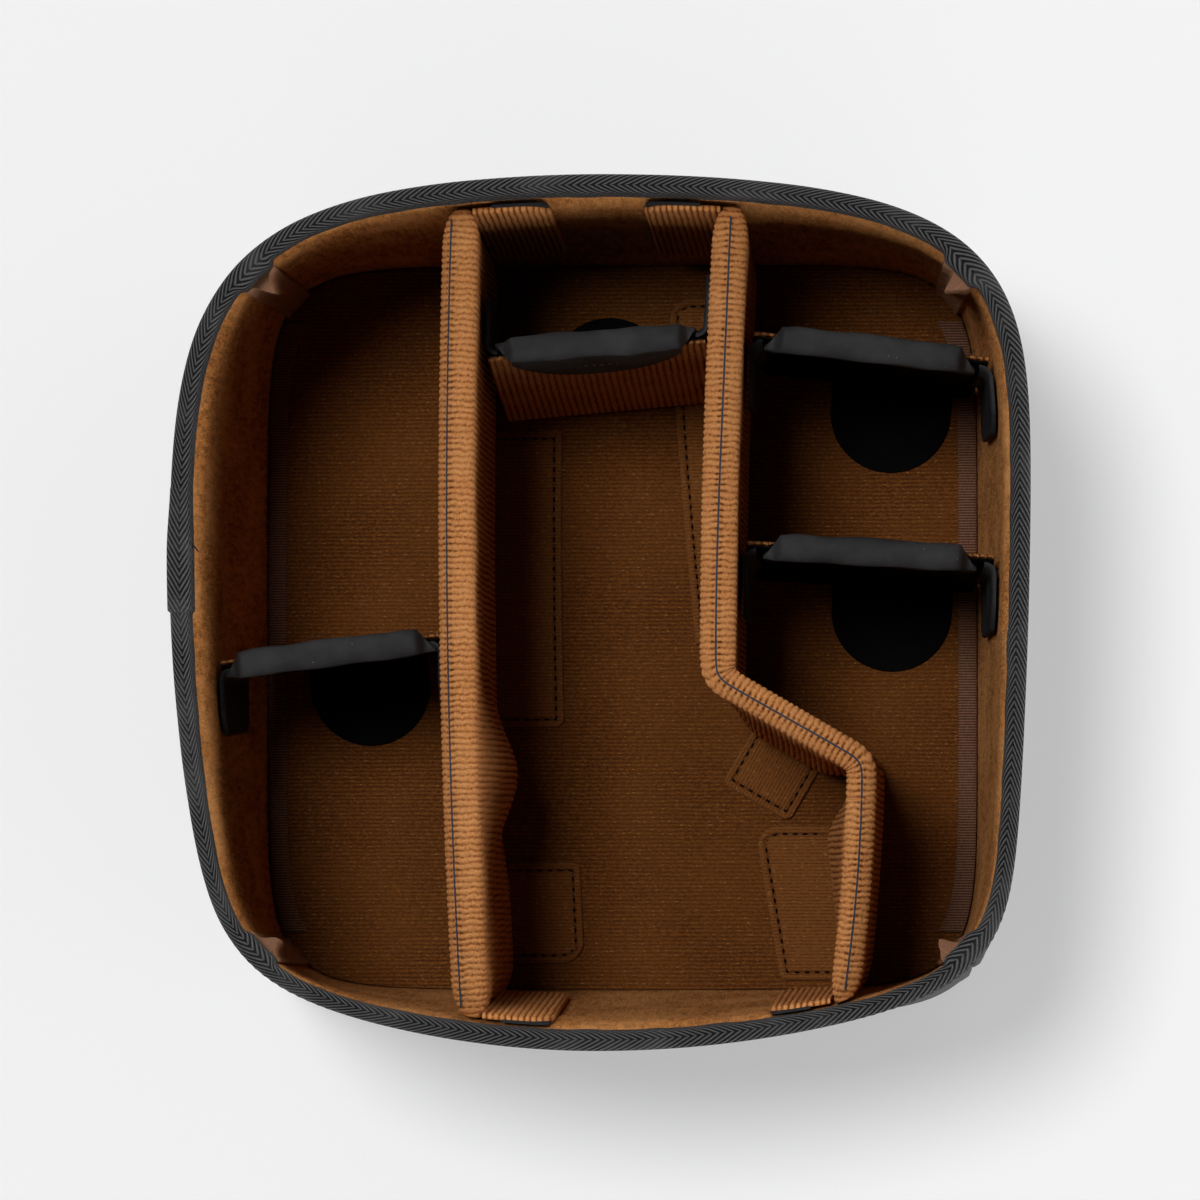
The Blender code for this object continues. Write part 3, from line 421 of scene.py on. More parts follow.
@dataclass
class Grosgrain(Finish):
    """Satin-faced ribbed tape: fine ribs across its length."""

    colour: tuple
    shade: tuple
    pitch: float = 0.0009

    def fill(self) -> None:
        """Ribs as a sine of the distance along, over fine yarn noise."""
        cloth = self.cloth_map()
        yarn = self.noise(self.scaled(cloth, 500.0, 2400.0, 1.0), 1.0, 2.0)
        relief = self.plus(self.wave(self.split(cloth)[0], self.pitch), 0.35, yarn)
        colour = self.blend(self.step(relief, 0.15, 0.85), self.shade, self.colour)
        self.finish(colour, relief, 0.0003, 0.6, 0.2)


@dataclass
class PuffedKnit(Finish):
    """Thick ribbed knit: each rib a row of soft puffs, with painted shade in the valleys and at the
    dimples.
    """

    colour: tuple = (0.500, 0.190, 0.058)
    shade: tuple = (0.120, 0.034, 0.007)
    fuzz: tuple = (0.74, 0.36, 0.135)
    sheen: tuple = (1.0, 0.50, 0.22)

    def fill(self) -> None:
        """The tone paints shade into the valleys, yarn cells break it up, fine noise is the puffs' fuzz."""
        cloth = self.cloth_map()
        yarn = self.cells(self.scaled(cloth, 980.0, 1250.0, 1.0), 1.0)
        twist = self.noise(self.scaled(cloth, 1100.0, 2600.0, 1.0), 1.0, 3.0, 0.65)
        slow = self.noise(self.place(), 55.0, 3.0)
        lift = self.plus(yarn, -0.42, self.plus(twist, 0.9, self.tone()))
        body = self.blend(self.step(lift, 0.30, 0.98), self.shade, self.colour)
        body = self.blend(self.step(lift, 0.85, 1.30), body, self.fuzz, 0.55)
        body = self.blend(self.step(slow, 0.42, 0.68), body, self.fuzz, 0.22)
        self.finish(body, self.plus(yarn, -0.5, twist), 0.0008, 0.95, 0.03, 0.02, 0.5, self.sheen)


@dataclass
class SatinFace(Finish):
    """Smooth black face cloth with a soft sheen, fine grain and settled dust."""

    colour: tuple
    dust: tuple = (0.30, 0.30, 0.30)
    rough: float = 0.7
    specular: float = 0.2

    def fill(self) -> None:
        """Fine grain for the bump, slow noise for handling marks, and sparse pale specks."""
        place = self.place()
        slow = self.noise(place, 70.0, 4.0, 0.6)
        base = self.blend(self.step(slow, 0.35, 0.7), self.colour, self.paler(self.colour, 1.8))
        near = self.step(self.cells(place, 420.0), 0.085, 0.05)
        some = self.step(self.noise(place, 210.0, 1.0), 0.58, 0.66)
        colour = self.blend(self.times(near, some), base, self.dust, 0.7)
        height = self.plus(slow, 1.5, self.times(self.cells(place, 2400.0), 0.25))
        rough = self.plus(slow, 0.3, self.rough - 0.15)
        self.finish(colour, height, 0.0003, rough, self.specular)


@dataclass
class Thread(Finish):
    """Twisted sewing thread."""

    colour: tuple = (0.052, 0.060, 0.085)
    specular: float = 0.3
    pitch: float = 0.0007

    def fill(self) -> None:
        """Slanted stripes of the twist, from distances along and round the thread."""
        along, around, _ = self.split(self.cloth_map())
        twist = self.wave(self.plus(around, 0.7, along), self.pitch)
        colour = self.blend(self.step(twist, -0.6, 0.6), self.paler(self.colour, 0.45), self.colour)
        self.finish(colour, twist, 0.0001, 0.7, self.specular)


@dataclass
class StudioFloor(Finish):
    """Plain pale floor of the studio, a light table that glows a little."""

    colour: tuple = (0.57, 0.57, 0.57)
    glow: float = 0.36

    def fill(self) -> None:
        """Fine noise that hardly shows, so that the floor isn't a single number."""
        slow = self.noise(self.place(), 3.0, 2.0)
        colour = self.blend(slow, self.paler(self.colour, 0.995), self.colour)
        values = {"Base Color": colour, "Roughness": 0.9, "Specular IOR Level": 0.0,
                  "Emission Color": (1.0, 1.0, 1.0), "Emission Strength": self.glow}
        for name, value in values.items():
            self.plug(value, self.tree.nodes["Principled BSDF"].inputs[name])


SKIN = CoatedCloth("coated_skin")
FOAM = FoamBoard("foam_board")
FELT = BrushedFelt("brushed_felt")
LOOP = FineLoop("floor_loop_cloth")
LOOP_TAB = TabLoop("tab_loop_cloth", (0.175, 0.062, 0.014), (0.065, 0.020, 0.0045), (0.45, 0.23, 0.080))
TWILL = TwillTape("herringbone_tape")
RIBBON = Grosgrain("brown_grosgrain", (0.190, 0.088, 0.048), (0.048, 0.020, 0.011))
SATIN_RIBBON = Grosgrain("brown_satin_tape", (0.440, 0.235, 0.130), (0.200, 0.090, 0.045), 0.0006)
KNIT = PuffedKnit("ribbed_knit")
GRIP = SatinFace("black_grip_cloth", (0.021, 0.021, 0.022))
HOOKS = SatinFace("black_hook_tape", (0.010, 0.010, 0.011), (0.12, 0.12, 0.12), 0.75)
# Painted shade: the black faces and tongues are the grip's black cloth made far darker, with dimmer dust,
# because they sit in shade.
SATIN = SatinFace("black_face_cloth", (0.0014, 0.0014, 0.0015), (0.04, 0.04, 0.04), 0.75, 0.03)
FLAP_FACE = SatinFace("black_flap_cloth", (0.013, 0.013, 0.014), (0.12, 0.12, 0.12), 0.65)
SEAM_THREAD = Thread("blue_grey_thread")
DARK_THREAD = Thread("dark_thread", (0.0070, 0.0036, 0.0016), 0.02)
PALE_THREAD = Thread("pale_thread", (0.10, 0.10, 0.11))
BLACK_THREAD = Thread("black_thread", (0.012, 0.012, 0.016))


# Meshes


class Sewing:
    """Collects grids of points and turns them into one mesh object, with its seams closed."""

    def __init__(self, name: str) -> None:
        """Starts an empty piece.

        Args:
            name: The name of the piece.
        """
        self.name = name
        self.parts: dict[str, list[Array]] = {"points": [], "quads": [], "cloth": [], "tones": []}
        self.count = 0

    def grid(self, points: Array, cloth: Optional[Array] = None, tone: Optional[Array] = None) -> Sewing:
        """Adds one grid, or several of the same size.

        Args:
            points: (..., rows, columns, 3) places.
            cloth: (..., rows, columns, 2) distances along and across the cloth, in metres.
            tone: (..., rows, columns) height on the relief, from 0 to 1; the knits paint shade where it is
                low.

        Returns:
            This piece.
        """
        rows, columns = points.shape[-3:-1]
        points = points.reshape(-1, rows, columns, 3)
        shape = points.shape[:-1]
        index = np.arange(math.prod(shape)).reshape(shape) + self.count
        corners = (index[:, :-1, :-1], index[:, :-1, 1:], index[:, 1:, 1:], index[:, 1:, :-1])
        cloth = points[..., :2] if cloth is None else cloth
        tone = 1.0 if tone is None else tone
        for name, values in (("points", points.reshape(-1, 3)),
                             ("quads", np.stack(corners, axis=-1).reshape(-1, 4)),
                             ("cloth", np.broadcast_to(cloth, shape + (2,)).reshape(-1, 2)),
                             ("tones", np.broadcast_to(tone, shape).reshape(-1))):
            self.parts[name].append(values)
        self.count += math.prod(shape)
        return self

    def sheet(self, front: Array, back: Array, cloth: Array, tone: Optional[Array] = None) -> Sewing:
        """Adds a closed sheet: its front, its back, and strips that join their four edges.

        Args:
            front: (rows, columns, 3) places of the front.
            back: The same for the back.
            cloth: (rows, columns, 2) distances on the cloth.
            tone: (rows, columns) height on the relief; the knits paint shade where it is low.

        Returns:
            This piece.
        """
        tone = np.ones(front.shape[:2]) if tone is None else tone
        self.grid(front, cloth, tone).grid(back, cloth, tone)
        ring = np.allclose(front[:, 0], front[:, -1], atol=1e-7)
        picks = [pick for pick in (np.s_[0], np.s_[-1]) if np.ptp(front[pick], axis=0).max() > 1e-7]
        for pick in picks + ([] if ring else [np.s_[:, 0], np.s_[:, -1]]):
            self.grid(*(np.stack([first[pick], second[pick]])
                        for first, second in ((front, back), (cloth, cloth), (tone, tone))))
        return self

    def tubes(self, centres: Array, side: Array, up: Array, radii: Array, flat: float = 1.0) -> Sewing:
        """Adds round threads: at each station a ring of eight points, at radius times the cosine to
        the side and flat times the sine upwards.

        Args:
            centres: (threads, stations, 3) middle lines.
            side: (threads, stations, 3) unit vectors across.
            up: (threads, stations, 3) unit vectors up.
            radii: (stations,) radius, nearly 0 at both ends so that they close.
            flat: Height as a share of the width.

        Returns:
            This piece.
        """
        turns = np.linspace(0, 2 * math.pi, 9)
        ring = side[:, :, None] * np.cos(turns)[:, None] + up[:, :, None] * flat * np.sin(turns)[:, None]
        points = centres[:, :, None] + ring * np.asarray(radii)[None, :, None, None]
        along = lengths(np.swapaxes(centres, 0, 1)).T
        return self.grid(points, pair(along[:, :, None], turns * max(radii)))

    def threads(self, centres: Array, above: Array, radii: Sequence[float]) -> Sewing:
        """Adds round threads, each with its sides square to the line and to the way up.

        Args:
            centres: (threads, stations, 3) middle lines.
            above: (threads, stations, 3) unit vectors up, or one for all.
            radii: (stations,) radius.

        Returns:
            This piece.
        """
        along = unit(np.gradient(centres, axis=1))
        above = np.broadcast_to(above, along.shape)
        return self.tubes(centres, unit(np.cross(along, above)), above, np.array(radii))

    def make(self, finish: Finish, sharp: float = 50.0) -> bpy.types.Object:
        """Builds the object.

        Args:
            finish: Its finish.
            sharp: Angle in degrees past which an edge stays sharp.

        Returns:
            The mesh object, at the origin.
        """
        points, quads, cloth, tones = (np.concatenate(values) for values in self.parts.values())
        mesh = bpy.data.meshes.new(self.name)
        mesh.vertices.add(len(points))
        mesh.vertices.foreach_set("co", (points + OFFSET).ravel())
        mesh.loops.add(quads.size)
        mesh.loops.foreach_set("vertex_index", quads.ravel())
        mesh.polygons.add(len(quads))
        mesh.polygons.foreach_set("loop_start", np.arange(len(quads)) * 4)
        mesh.update(calc_edges=True)
        mesh.uv_layers.new(name="cloth").data.foreach_set("uv", cloth[quads.ravel()].ravel())
        mesh.attributes.new("tone", "FLOAT", "POINT").data.foreach_set("value", tones)
        shape = bmesh.new()
        shape.from_mesh(mesh)
        bmesh.ops.remove_doubles(shape, verts=shape.verts[:], dist=2e-6)
        bmesh.ops.recalc_face_normals(shape, faces=shape.faces[:])
        shape.to_mesh(mesh)
        shape.free()
        mesh.shade_smooth()
        mesh.set_sharp_from_angle(angle=math.radians(sharp))
        mesh.materials.append(finish.material())
        made = bpy.data.objects.new(self.name, mesh)
        bpy.context.scene.collection.objects.link(made)
        return made


@dataclass(frozen=True)
class Hinge:
    """A sewn fold that a piece bends over: the body before start and the body after end, with both
    points in the tub's own frame."""

    before: str
    after: str
    start: Sequence[float]
    end: Sequence[float]


def dress(made: bpy.types.Object, body: str, nodes: Sequence[str] = (),
          hinge: Optional[Hinge] = None) -> bpy.types.Object:
    """Ties a finished piece to its body; one with a hinge has its transform baked instead, and the hinge is
    only logged.

    Args:
        made: The piece.
        body: The body that it rides on, where it has no hinge.
        nodes: The CAD nodes that it stands for.
        hinge: The fold that it bends over.

    Returns:
        The piece.
    """
    if hinge:
        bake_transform(made)
    else:
        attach(made, body)
    if nodes:
        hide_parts(*nodes)
    LOG.info("%s: %d faces, %s", made.name, len(made.data.polygons), hinge or body)
    return made


# The tub's own form


@dataclass(frozen=True)
class TubForm:
    """The tub's outline at each height, and its layers from the outside in."""

    height: float = 0.140
    base_half_width: float = 0.1275
    base_half_depth: float = 0.130
    rim_half_width: float = 0.1443
    rim_half_depth: float = 0.1431
    base_power: float = 8.0
    rear_right_power: float = 5.8
    rear_left_power: float = 5.6
    front_power: float = 9.0
    left_narrow: float = 0.062
    right_narrow: float = 0.050
    rear_bow: float = 0.123
    front_bow: float = 0.179
    left_bow: float = 0.096
    right_bow: float = 0.025
    gap: float = 0.0003
    skin_out: float = 0.0009
    skin_in: float = 0.0017
    foam_out: float = 0.0020
    foam_in: float = 0.0054
    lining_out: float = 0.0057
    lining_in: float = 0.0067
    foam_low: float = 0.0015
    foam_top: float = 0.0067
    floor_low: float = 0.0070
    floor_top: float = 0.0080
    wall_top: float = 0.1391

    def ring(self, turn: Array, height: Array, inset: Array) -> Array:
        """Points of the outline: a superellipse whose power changes by quadrant, drawn in by inset,
        narrowed towards the front and bowed on all four sides as it rises.

        Args:
            turn: Direction from the middle, in radians.
            height: Height above the base.
            inset: Distance in from the outline.

        Returns:
            The points, with x, y and z last.
        """
        turn, height, inset = np.broadcast_arrays(turn, height, inset)
        share = height / self.height
        half_width = mix(self.base_half_width, self.rim_half_width, share)
        half_depth = mix(self.base_half_depth, self.rim_half_depth, share)
        cosine, sine = np.cos(turn), np.sin(turn)
        rear = np.where(cosine > 0, self.rear_right_power, self.rear_left_power)
        power = 1 / mix(1 / self.base_power, 1 / np.where(sine > 0, rear, self.front_power), share)
        across = np.abs(cosine / (half_width - inset)) ** power
        along = np.abs(sine / (half_depth - inset)) ** power
        reach = (across + along) ** (-1 / power)
        x, y = reach * cosine, reach * sine
        narrow = np.where(x > 0, self.right_narrow, self.left_narrow) * (1 - y / half_depth) / 2
        end_bow = np.where(y > 0, self.rear_bow, self.front_bow) * (x / half_width) ** 2
        side_bow = np.where(x > 0, self.right_bow, self.left_bow) * (y / half_depth) ** 2
        return np.stack([x * (1 - share * narrow) * (1 - share * side_bow),
                         y * (1 - share * end_bow), height + 0.0 * x], axis=-1)

    def crossing(self, turn_of: Callable[[Array], Array], axis: int, aim: Array, height: Array,
                 inset: Array) -> Array:
        """The outline's points whose x or y is aim, found by halving the range of turns.

        Args:
            turn_of: Gives the turn whose x or y grows from its least to its most.
            axis: 0 for x and 1 for y.
            aim: The x or y.
            height: Height above the base.
            inset: Distance in from the outline.

        Returns:
            The points.
        """
        aim, height, inset = np.broadcast_arrays(aim, height, inset)
        low = np.full(aim.shape, -math.pi / 2)
        high = np.full(aim.shape, math.pi / 2)
        for _ in range(34):
            middle = (low + high) / 2
            below = self.ring(turn_of(middle), height, inset)[..., axis] < aim
            low, high = np.where(below, middle, low), np.where(below, high, middle)
        return self.ring(turn_of(low), height, inset)

    def side_x(self, side: int, y: Array, height: Array, inset: Array) -> Array:
        """x of a side wall at y. side is -1 at the left and 1 at the right."""
        return self.crossing(lambda turn: turn if side > 0 else math.pi - turn, 1, y, height, inset)[..., 0]

    def end_y(self, end: int, x: Array, height: Array, inset: Array) -> Array:
        """y of an end wall at x. end is -1 at the front and 1 at the rear."""
        return self.crossing(lambda turn: end * (math.pi / 2 - turn), 0, x, height, inset)[..., 1]

    def turns(self, columns: int) -> Array:
        """Directions once round the tub, crowded towards the corners. The last is the first again.

        Args:
            columns: How many there are on each wall.

        Returns:
            The directions, in radians.
        """
        eased = math.pi / 4 * np.sin((np.arange(columns) / columns - 0.5) * math.pi)
        turns = (np.arange(4)[:, None] * math.pi / 2 + eased).ravel()
        return np.append(turns, turns[0] + 2 * math.pi)


FORM = TubForm()
HALF_WAY_UP = 0.07


class Side(Enum):
    """The four walls, by the direction of their middles."""

    RIGHT = 0.0
    REAR = math.pi / 2
    LEFT = math.pi
    FRONT = -math.pi / 2


def on_walls(ending: str) -> list[str]:
    """The names of the four walls' pieces with this ending."""
    return [side.name.lower() + ending for side in Side]


@dataclass
class Tub:
    """The soft tub: outer shell, foam, lining, floor, rim tape and the tapes in its corners."""

    columns: int = 64
    swell: float = 0.0010
    slack: float = 0.00045
    crease: float = 0.0005
    groove: float = 0.0011
    groove_lip: float = 0.0005
    foam_round: float = 0.0012
    foam_edge: float = 0.0009
    lining_slack: float = 0.00014
    rim_drop: float = 0.009
    rim_round: float = 0.0030
    rim_width: float = 0.0062
    rim_thick: float = 0.0006
    rim_power: float = 0.62
    rim_bunch: float = 0.0019
    rim_wander: float = 0.00022
    spine_shift: float = 0.0029
    lap_start: float = 0.0
    lap_length: float = 0.041
    lap_thick: float = 0.0008
    corner_width: float = 0.013
    corner_low: float = 0.0004
    corner_high: float = 0.0056
    corner_flat_width: float = 0.0145
    seam_width: float = 0.0062
    seam_half_length: float = 0.104
    stitch_pitch: float = 0.0034

    def band(self, heights: Array, insets: Array, turns: Array) -> Array:
        """Rings of points, one for each height. insets has a row for each, or one for all."""
        return FORM.ring(turns[None, :], heights[:, None], insets)

    def around(self, turns: Array, height: float) -> Array:
        """Distance along the outline at a height, for each turn."""
        return lengths(FORM.ring(turns, height, 0.0))

    def pinch(self, heights: Array) -> Array:
        """How far the binding draws the foam and the lining outwards near the rim."""
        return 0.0014 * smooth((heights - 0.114) / 0.018)

    def corners(self, turns: Array, around: Array) -> Array:
        """Distance along the outline to the nearest corner, for each turn."""
        places = np.interp([math.pi / 4 + math.pi / 2 * n for n in range(-1, 5)], turns, around)
        return np.abs(around[:, None] - places[None, :]).min(axis=1)

    def shell(self) -> None:
        """Outer skin of all four walls: it swells a little between base and rim, is wrinkled by slow
        waves, and is drawn in along a seam at each corner."""
        turns = FORM.turns(self.columns)
        around = self.around(turns, HALF_WAY_UP)
        heights = mix(FORM.foam_low, FORM.wall_top, np.linspace(0, 1, 72))
        share = (heights / FORM.height)[:, None]
        fade = smooth(share / 0.06) * smooth((0.93 - share) / 0.10)
        seam = self.corners(turns, around)[None, :]
        swell = self.swell * np.sin(math.pi * np.clip(share / 0.93, 0, 1))
        slack = self.slack * waves(around[None, :] / 0.085, heights[:, None] / 0.055, 5)
        creases = self.crease * bump(np.sin(around[None, :] / 0.021 + share * 3) * 3) * bump(
            (share - 0.1) / 0.1)
        groove = self.groove * bump(seam / 0.0011) - self.groove_lip * bump((seam - 0.0032) / 0.0016)
        inset = fade * (-swell - slack * smooth(seam / 0.02) + creases + groove)
        sewing = Sewing("outer_shell").sheet(
            self.band(heights, FORM.skin_out + inset, turns),
            self.band(heights, FORM.skin_in + np.minimum(inset, 0), turns), pair(around, heights[:, None]))
        made = dress(sewing.make(SKIN), "tub", on_walls("_outer_skin"))

    def foam_pad(self, side: Side) -> None:
        """The foam board of one wall, with soft edges, between the shell and the lining.

        Args:
            side: The wall.
        """
        mitre = 1 - 4 / math.pi * FORM.gap / (2 * FORM.rim_half_width)
        turns = side.value + mitre * math.pi / 4 * np.sin((np.linspace(0, 1, 49) - 0.5) * math.pi)
        heights = mix(FORM.foam_low, FORM.wall_top, (1 - np.cos(np.linspace(0, math.pi, 33))) / 2)
        edge = np.minimum(heights - FORM.foam_low, FORM.wall_top - heights)
        soft = self.foam_edge * (1 - rounded(edge, self.foam_round))[:, None]
        cloth = pair(self.around(turns, HALF_WAY_UP), heights[:, None])
        name = side.name.lower() + "_wall_"
        sewing = Sewing(name + "padding").sheet(
            self.band(heights, FORM.foam_out + soft * 0.9, turns),
            self.band(heights, FORM.foam_in - soft - self.pinch(heights)[:, None], turns), cloth)
        dress(sewing.make(FOAM), "tub", [name + "foam"])

    def lining(self) -> None:
        """Brushed lining of all four walls, slightly uneven over its foam."""
        turns = FORM.turns(self.columns)
        around = self.around(turns, HALF_WAY_UP)
        heights = mix(FORM.foam_low, FORM.wall_top, np.linspace(0, 1, 60))
        fade = smooth((heights[:, None] - 0.01) / 0.02) * smooth((0.131 - heights[:, None]) / 0.012)
        corner = smooth(self.corners(turns, around) / 0.02)[None, :]
        uneven = self.lining_slack * waves(around[None, :] / 0.05, heights[:, None] / 0.04, 11)
        slack = uneven * fade * corner - self.pinch(heights)[:, None]
        sewing = Sewing("wall_lining").sheet(
            self.band(heights, FORM.lining_in + slack, turns),
            self.band(heights, FORM.lining_out + np.minimum(slack, 0), turns),
            pair(around, heights[:, None]))
        made = dress(sewing.make(FELT), "tub", on_walls("_wall_lining"))
        inner = float(lengths(FORM.ring(turns, HALF_WAY_UP, FORM.lining_in))[-1])

    def disc(self, name: str, low: float, top: float, inset: float, rounding: float, slack: float,
             seed: int, finish: Finish) -> bpy.types.Object:
        """A plate that fills the outline: grids of rings scaled about the middle, top and underside,
        with a rounded edge and a slow unevenness on top.

        Args:
            name: The piece's name.
            low: Height of its underside.
            top: Height of its top.
            inset: Distance in from the outline.
            rounding: Radius of its edge in plan.
            slack: Depth of the unevenness.
            seed: Number that fixes the unevenness.
            finish: Its finish.

        Returns:
            The mesh object.
        """
        turns = FORM.turns(32)
        radial = np.sin(np.linspace(0, math.pi / 2, 40))
        edge = (1 - radial) * FORM.base_half_width
        drop = 0.5 * (top - low) * (1 - rounded(edge, rounding))
        faces = []
        for height, lift in ((top, -drop[:, None]), (low, drop[:, None])):
            points = FORM.ring(turns[None, :], height, inset) * radial[:, None, None]
            points[..., 2] = height + lift
            faces.append(points)
        upper, lower = faces
        upper[..., 2] += slack * smooth(edge / 0.02)[:, None] * waves(
            upper[..., 0] / 0.06, upper[..., 1] / 0.06, seed)
        return Sewing(name).sheet(upper, lower, upper[..., :2]).make(finish)

    def base(self) -> None:
        """The base skin, the floor's foam and the floor's lining."""
        skin = self.disc("base_skin", 0.0, 0.0012, FORM.skin_out, 0.0025, 0.0, 1, SKIN)
        dress(skin, "tub", ["base_outer_skin"])
        inset = FORM.lining_in + FORM.gap
        foam = self.disc("base_padding", FORM.foam_low, FORM.foam_top, inset, 0.0015, 0.0, 2, FOAM)
        dress(foam, "tub", ["base_foam"])
        floor = self.disc("floor_cloth", FORM.floor_low, FORM.floor_top, inset, 0.0010, 0.00012, 3, LOOP)
        dress(floor, "tub", ["floor_lining"])

    def rim_profile(self, spare: float) -> tuple[Array, Array]:
        """The folded tape's section: up the outer leg, over the rounded top and down the inner leg.

        Args:
            spare: How far inside the tape's outer face it lies.

        Returns:
            Insets and heights.
        """
        shoulder = FORM.height - self.rim_round
        leg = np.linspace(FORM.height - self.rim_drop, shoulder, 8)[:-1]
        turn = np.linspace(0, math.pi, 17)
        middle = self.rim_width / 2
        reach = middle - spare
        inset = middle - reach * np.sign(np.cos(turn)) * np.abs(np.cos(turn)) ** self.rim_power
        height = shoulder + (self.rim_round - spare) * np.abs(np.sin(turn)) ** self.rim_power
        insets = np.concatenate([np.full(7, middle - reach), inset, np.full(7, middle + reach)])
        return insets, np.concatenate([leg, height, leg[::-1]])

    def rim(self) -> None:
        """The herringbone tape folded over the walls' top edges: the profile carried round the tub,
        with a slow unevenness where the layers under it bunch up at the corners."""
        turns = FORM.turns(150)
        around = self.around(turns, FORM.height)
        insets, heights = self.rim_profile(0.0)
        corner = 1 - smooth((self.corners(turns, around) - 0.0055) / 0.0035)
        bunch = self.rim_bunch * corner + self.rim_wander * waves(around / 0.030, 0 * around, 21)
        side = smooth((insets - 0.002) / 0.004)[:, None] * np.maximum(bunch[None, :], 0)
        points = self.band(heights, insets[:, None] + side, turns)
        within, lower = self.rim_profile(self.rim_thick)
        inside = self.band(lower, within[:, None] + side, turns)
        points[..., 2] += self.rim_wander * waves(around / 0.022, 0 * around, 22)[None, :] * (
            smooth((heights - FORM.height + 0.006) / 0.004)[:, None])
        across = lengths(pair(insets, heights)) + self.spine_shift
        sewing = Sewing("rim_binding").sheet(points, inside, pair(around, across[:, None]))
        made = dress(sewing.make(TWILL), "tub", ["rim_tape"])

    def lap(self) -> None:
        """The tape's own end, lapped over its start on the left side, with its cut edge turned under."""
        insets, heights = self.rim_profile(0.0)
        y = self.lap_start + self.lap_length * np.linspace(0, 1, 60)
        last = self.lap_start + self.lap_length
        ends = np.minimum(y - self.lap_start, last - y)
        thick = self.lap_thick * rounded(ends, 0.0009)
        thick = thick * (0.04 + 0.96 * smooth((last - y) / 0.022))
        middle = self.rim_width / 2
        aside = np.sign(insets - middle) * np.clip(np.abs(insets - middle) / middle, 0, 1) ** 2
        rise = smooth((heights - FORM.height + self.rim_round) / self.rim_round)
        faces = []
        for proud in (0.0001 + thick, 0.0001 + 0 * thick):
            inset = insets[:, None] + aside[:, None] * proud[None, :]
            x = FORM.side_x(-1, y[None, :], heights[:, None], inset)
            z = heights[:, None] + rise[:, None] * proud[None, :]
            faces.append(np.stack([x, np.broadcast_to(y[None, :], x.shape), z], axis=-1))
        across = lengths(pair(insets, heights)) + self.spine_shift
        sewing = Sewing("rim_binding_lap").sheet(*faces, pair(y * -1 + 0.0004, across[:, None]))
        made = dress(sewing.make(TWILL), "tub", ["rim_tape_lap"])

    def loose_ends(self) -> None:
        """Cut thread ends that stand out of the binding's inner edge above the lap."""
        steps = np.linspace(0, 1, 14)
        starts = np.array([(-0.1353, 0.0262, 0.1330), (-0.1350, 0.0235, 0.1325), (-0.1354, 0.0228, 0.1315)])
        leaps = np.array([(0.0030, -0.0042, 0.0010), (0.0042, -0.0036, 0.0006), (0.0024, -0.0046, -0.0004)])
        bends = np.array([(0.0, 0.0, 0.0014), (0.0, 0.0008, 0.0016), (0.0004, 0.0, 0.0010)])
        centres = starts[:, None] + leaps[:, None] * steps[None, :, None]
        centres = centres + bends[:, None] * arch(steps)[None, :, None]
        radii = 0.00027 * np.sqrt(np.clip(1 - (2 * steps - 1) ** 6, 1e-4, 1))
        made = Sewing("loose_thread_ends").threads(centres, UP, radii).make(BLACK_THREAD)
        dress(made, "tub")

    def corner(self, name: str, eighths: int) -> None:
        """Satin tape down one inside corner: a strip whose middle stands proud as a slanted fold that
        grows towards the rim and is pinched at its top.

        Args:
            name: The corner's name.
            eighths: Its direction, in eighths of a turn.
        """
        across = np.linspace(-1, 1, 41)[None, :]
        top = FORM.height - self.rim_drop - FORM.gap
        heights = mix(FORM.floor_top + FORM.gap, top, np.linspace(0, 1, 60))[:, None]
        half = self.corner_width / (2 * FORM.base_half_width * math.sqrt(2))
        share = heights / FORM.height
        off = across - 0.30 * np.sin(share * 4 + eighths) * share
        fold = mix(self.corner_low, self.corner_high, smooth((share - 0.35) / 0.55)) * bump(
            np.where(off > 0, 3.4, 2.0) * off)
        ruck = 0.00018 * waves(across, heights / 0.012, 30 + eighths)
        edge = rounded(1 - np.abs(across), 0.14)
        back = FORM.lining_in + 0.0005
        turns = eighths * math.pi / 4 + half * across
        front = FORM.ring(turns, heights, back + 0.00015 + 0.00065 * edge + (fold + ruck) * edge)
        rear = FORM.ring(turns, heights, back + 0 * fold)
        cloth = pair(heights, across * self.corner_width / 2)
        sewing = Sewing(name + "_corner_binding").sheet(front, rear, cloth)
        made = dress(sewing.make(SATIN_RIBBON), "tub", [name + "_corner_tape"])

    def floor_tape(self, name: str, side: int) -> None:
        """Grosgrain over the floor's side seam, with rounded long edges.

        Args:
            name: The CAD node that it stands for.
            side: -1 at the left and 1 at the right.
        """
        y = np.linspace(-self.seam_half_length, self.seam_half_length, 120)[:, None]
        across = np.linspace(0, 1, 13)[None, :]
        low = FORM.floor_top + FORM.gap
        edge = rounded(1 - np.abs(2 * across - 1), 0.8)
        high = low + 0.00025 + 0.00055 * edge + 0.00008 * waves(y / 0.02, across, 41)
        x = FORM.side_x(side, y, low, FORM.lining_in + 0.0005 + self.seam_width * across)
        top, under = (np.stack(np.broadcast_arrays(x, y, z), axis=-1) for z in (high, low + 0 * high))
        sewing = Sewing(name + "_binding").sheet(top, under, pair(y, across * self.seam_width))
        dress(sewing.make(RIBBON), "tub", [name])

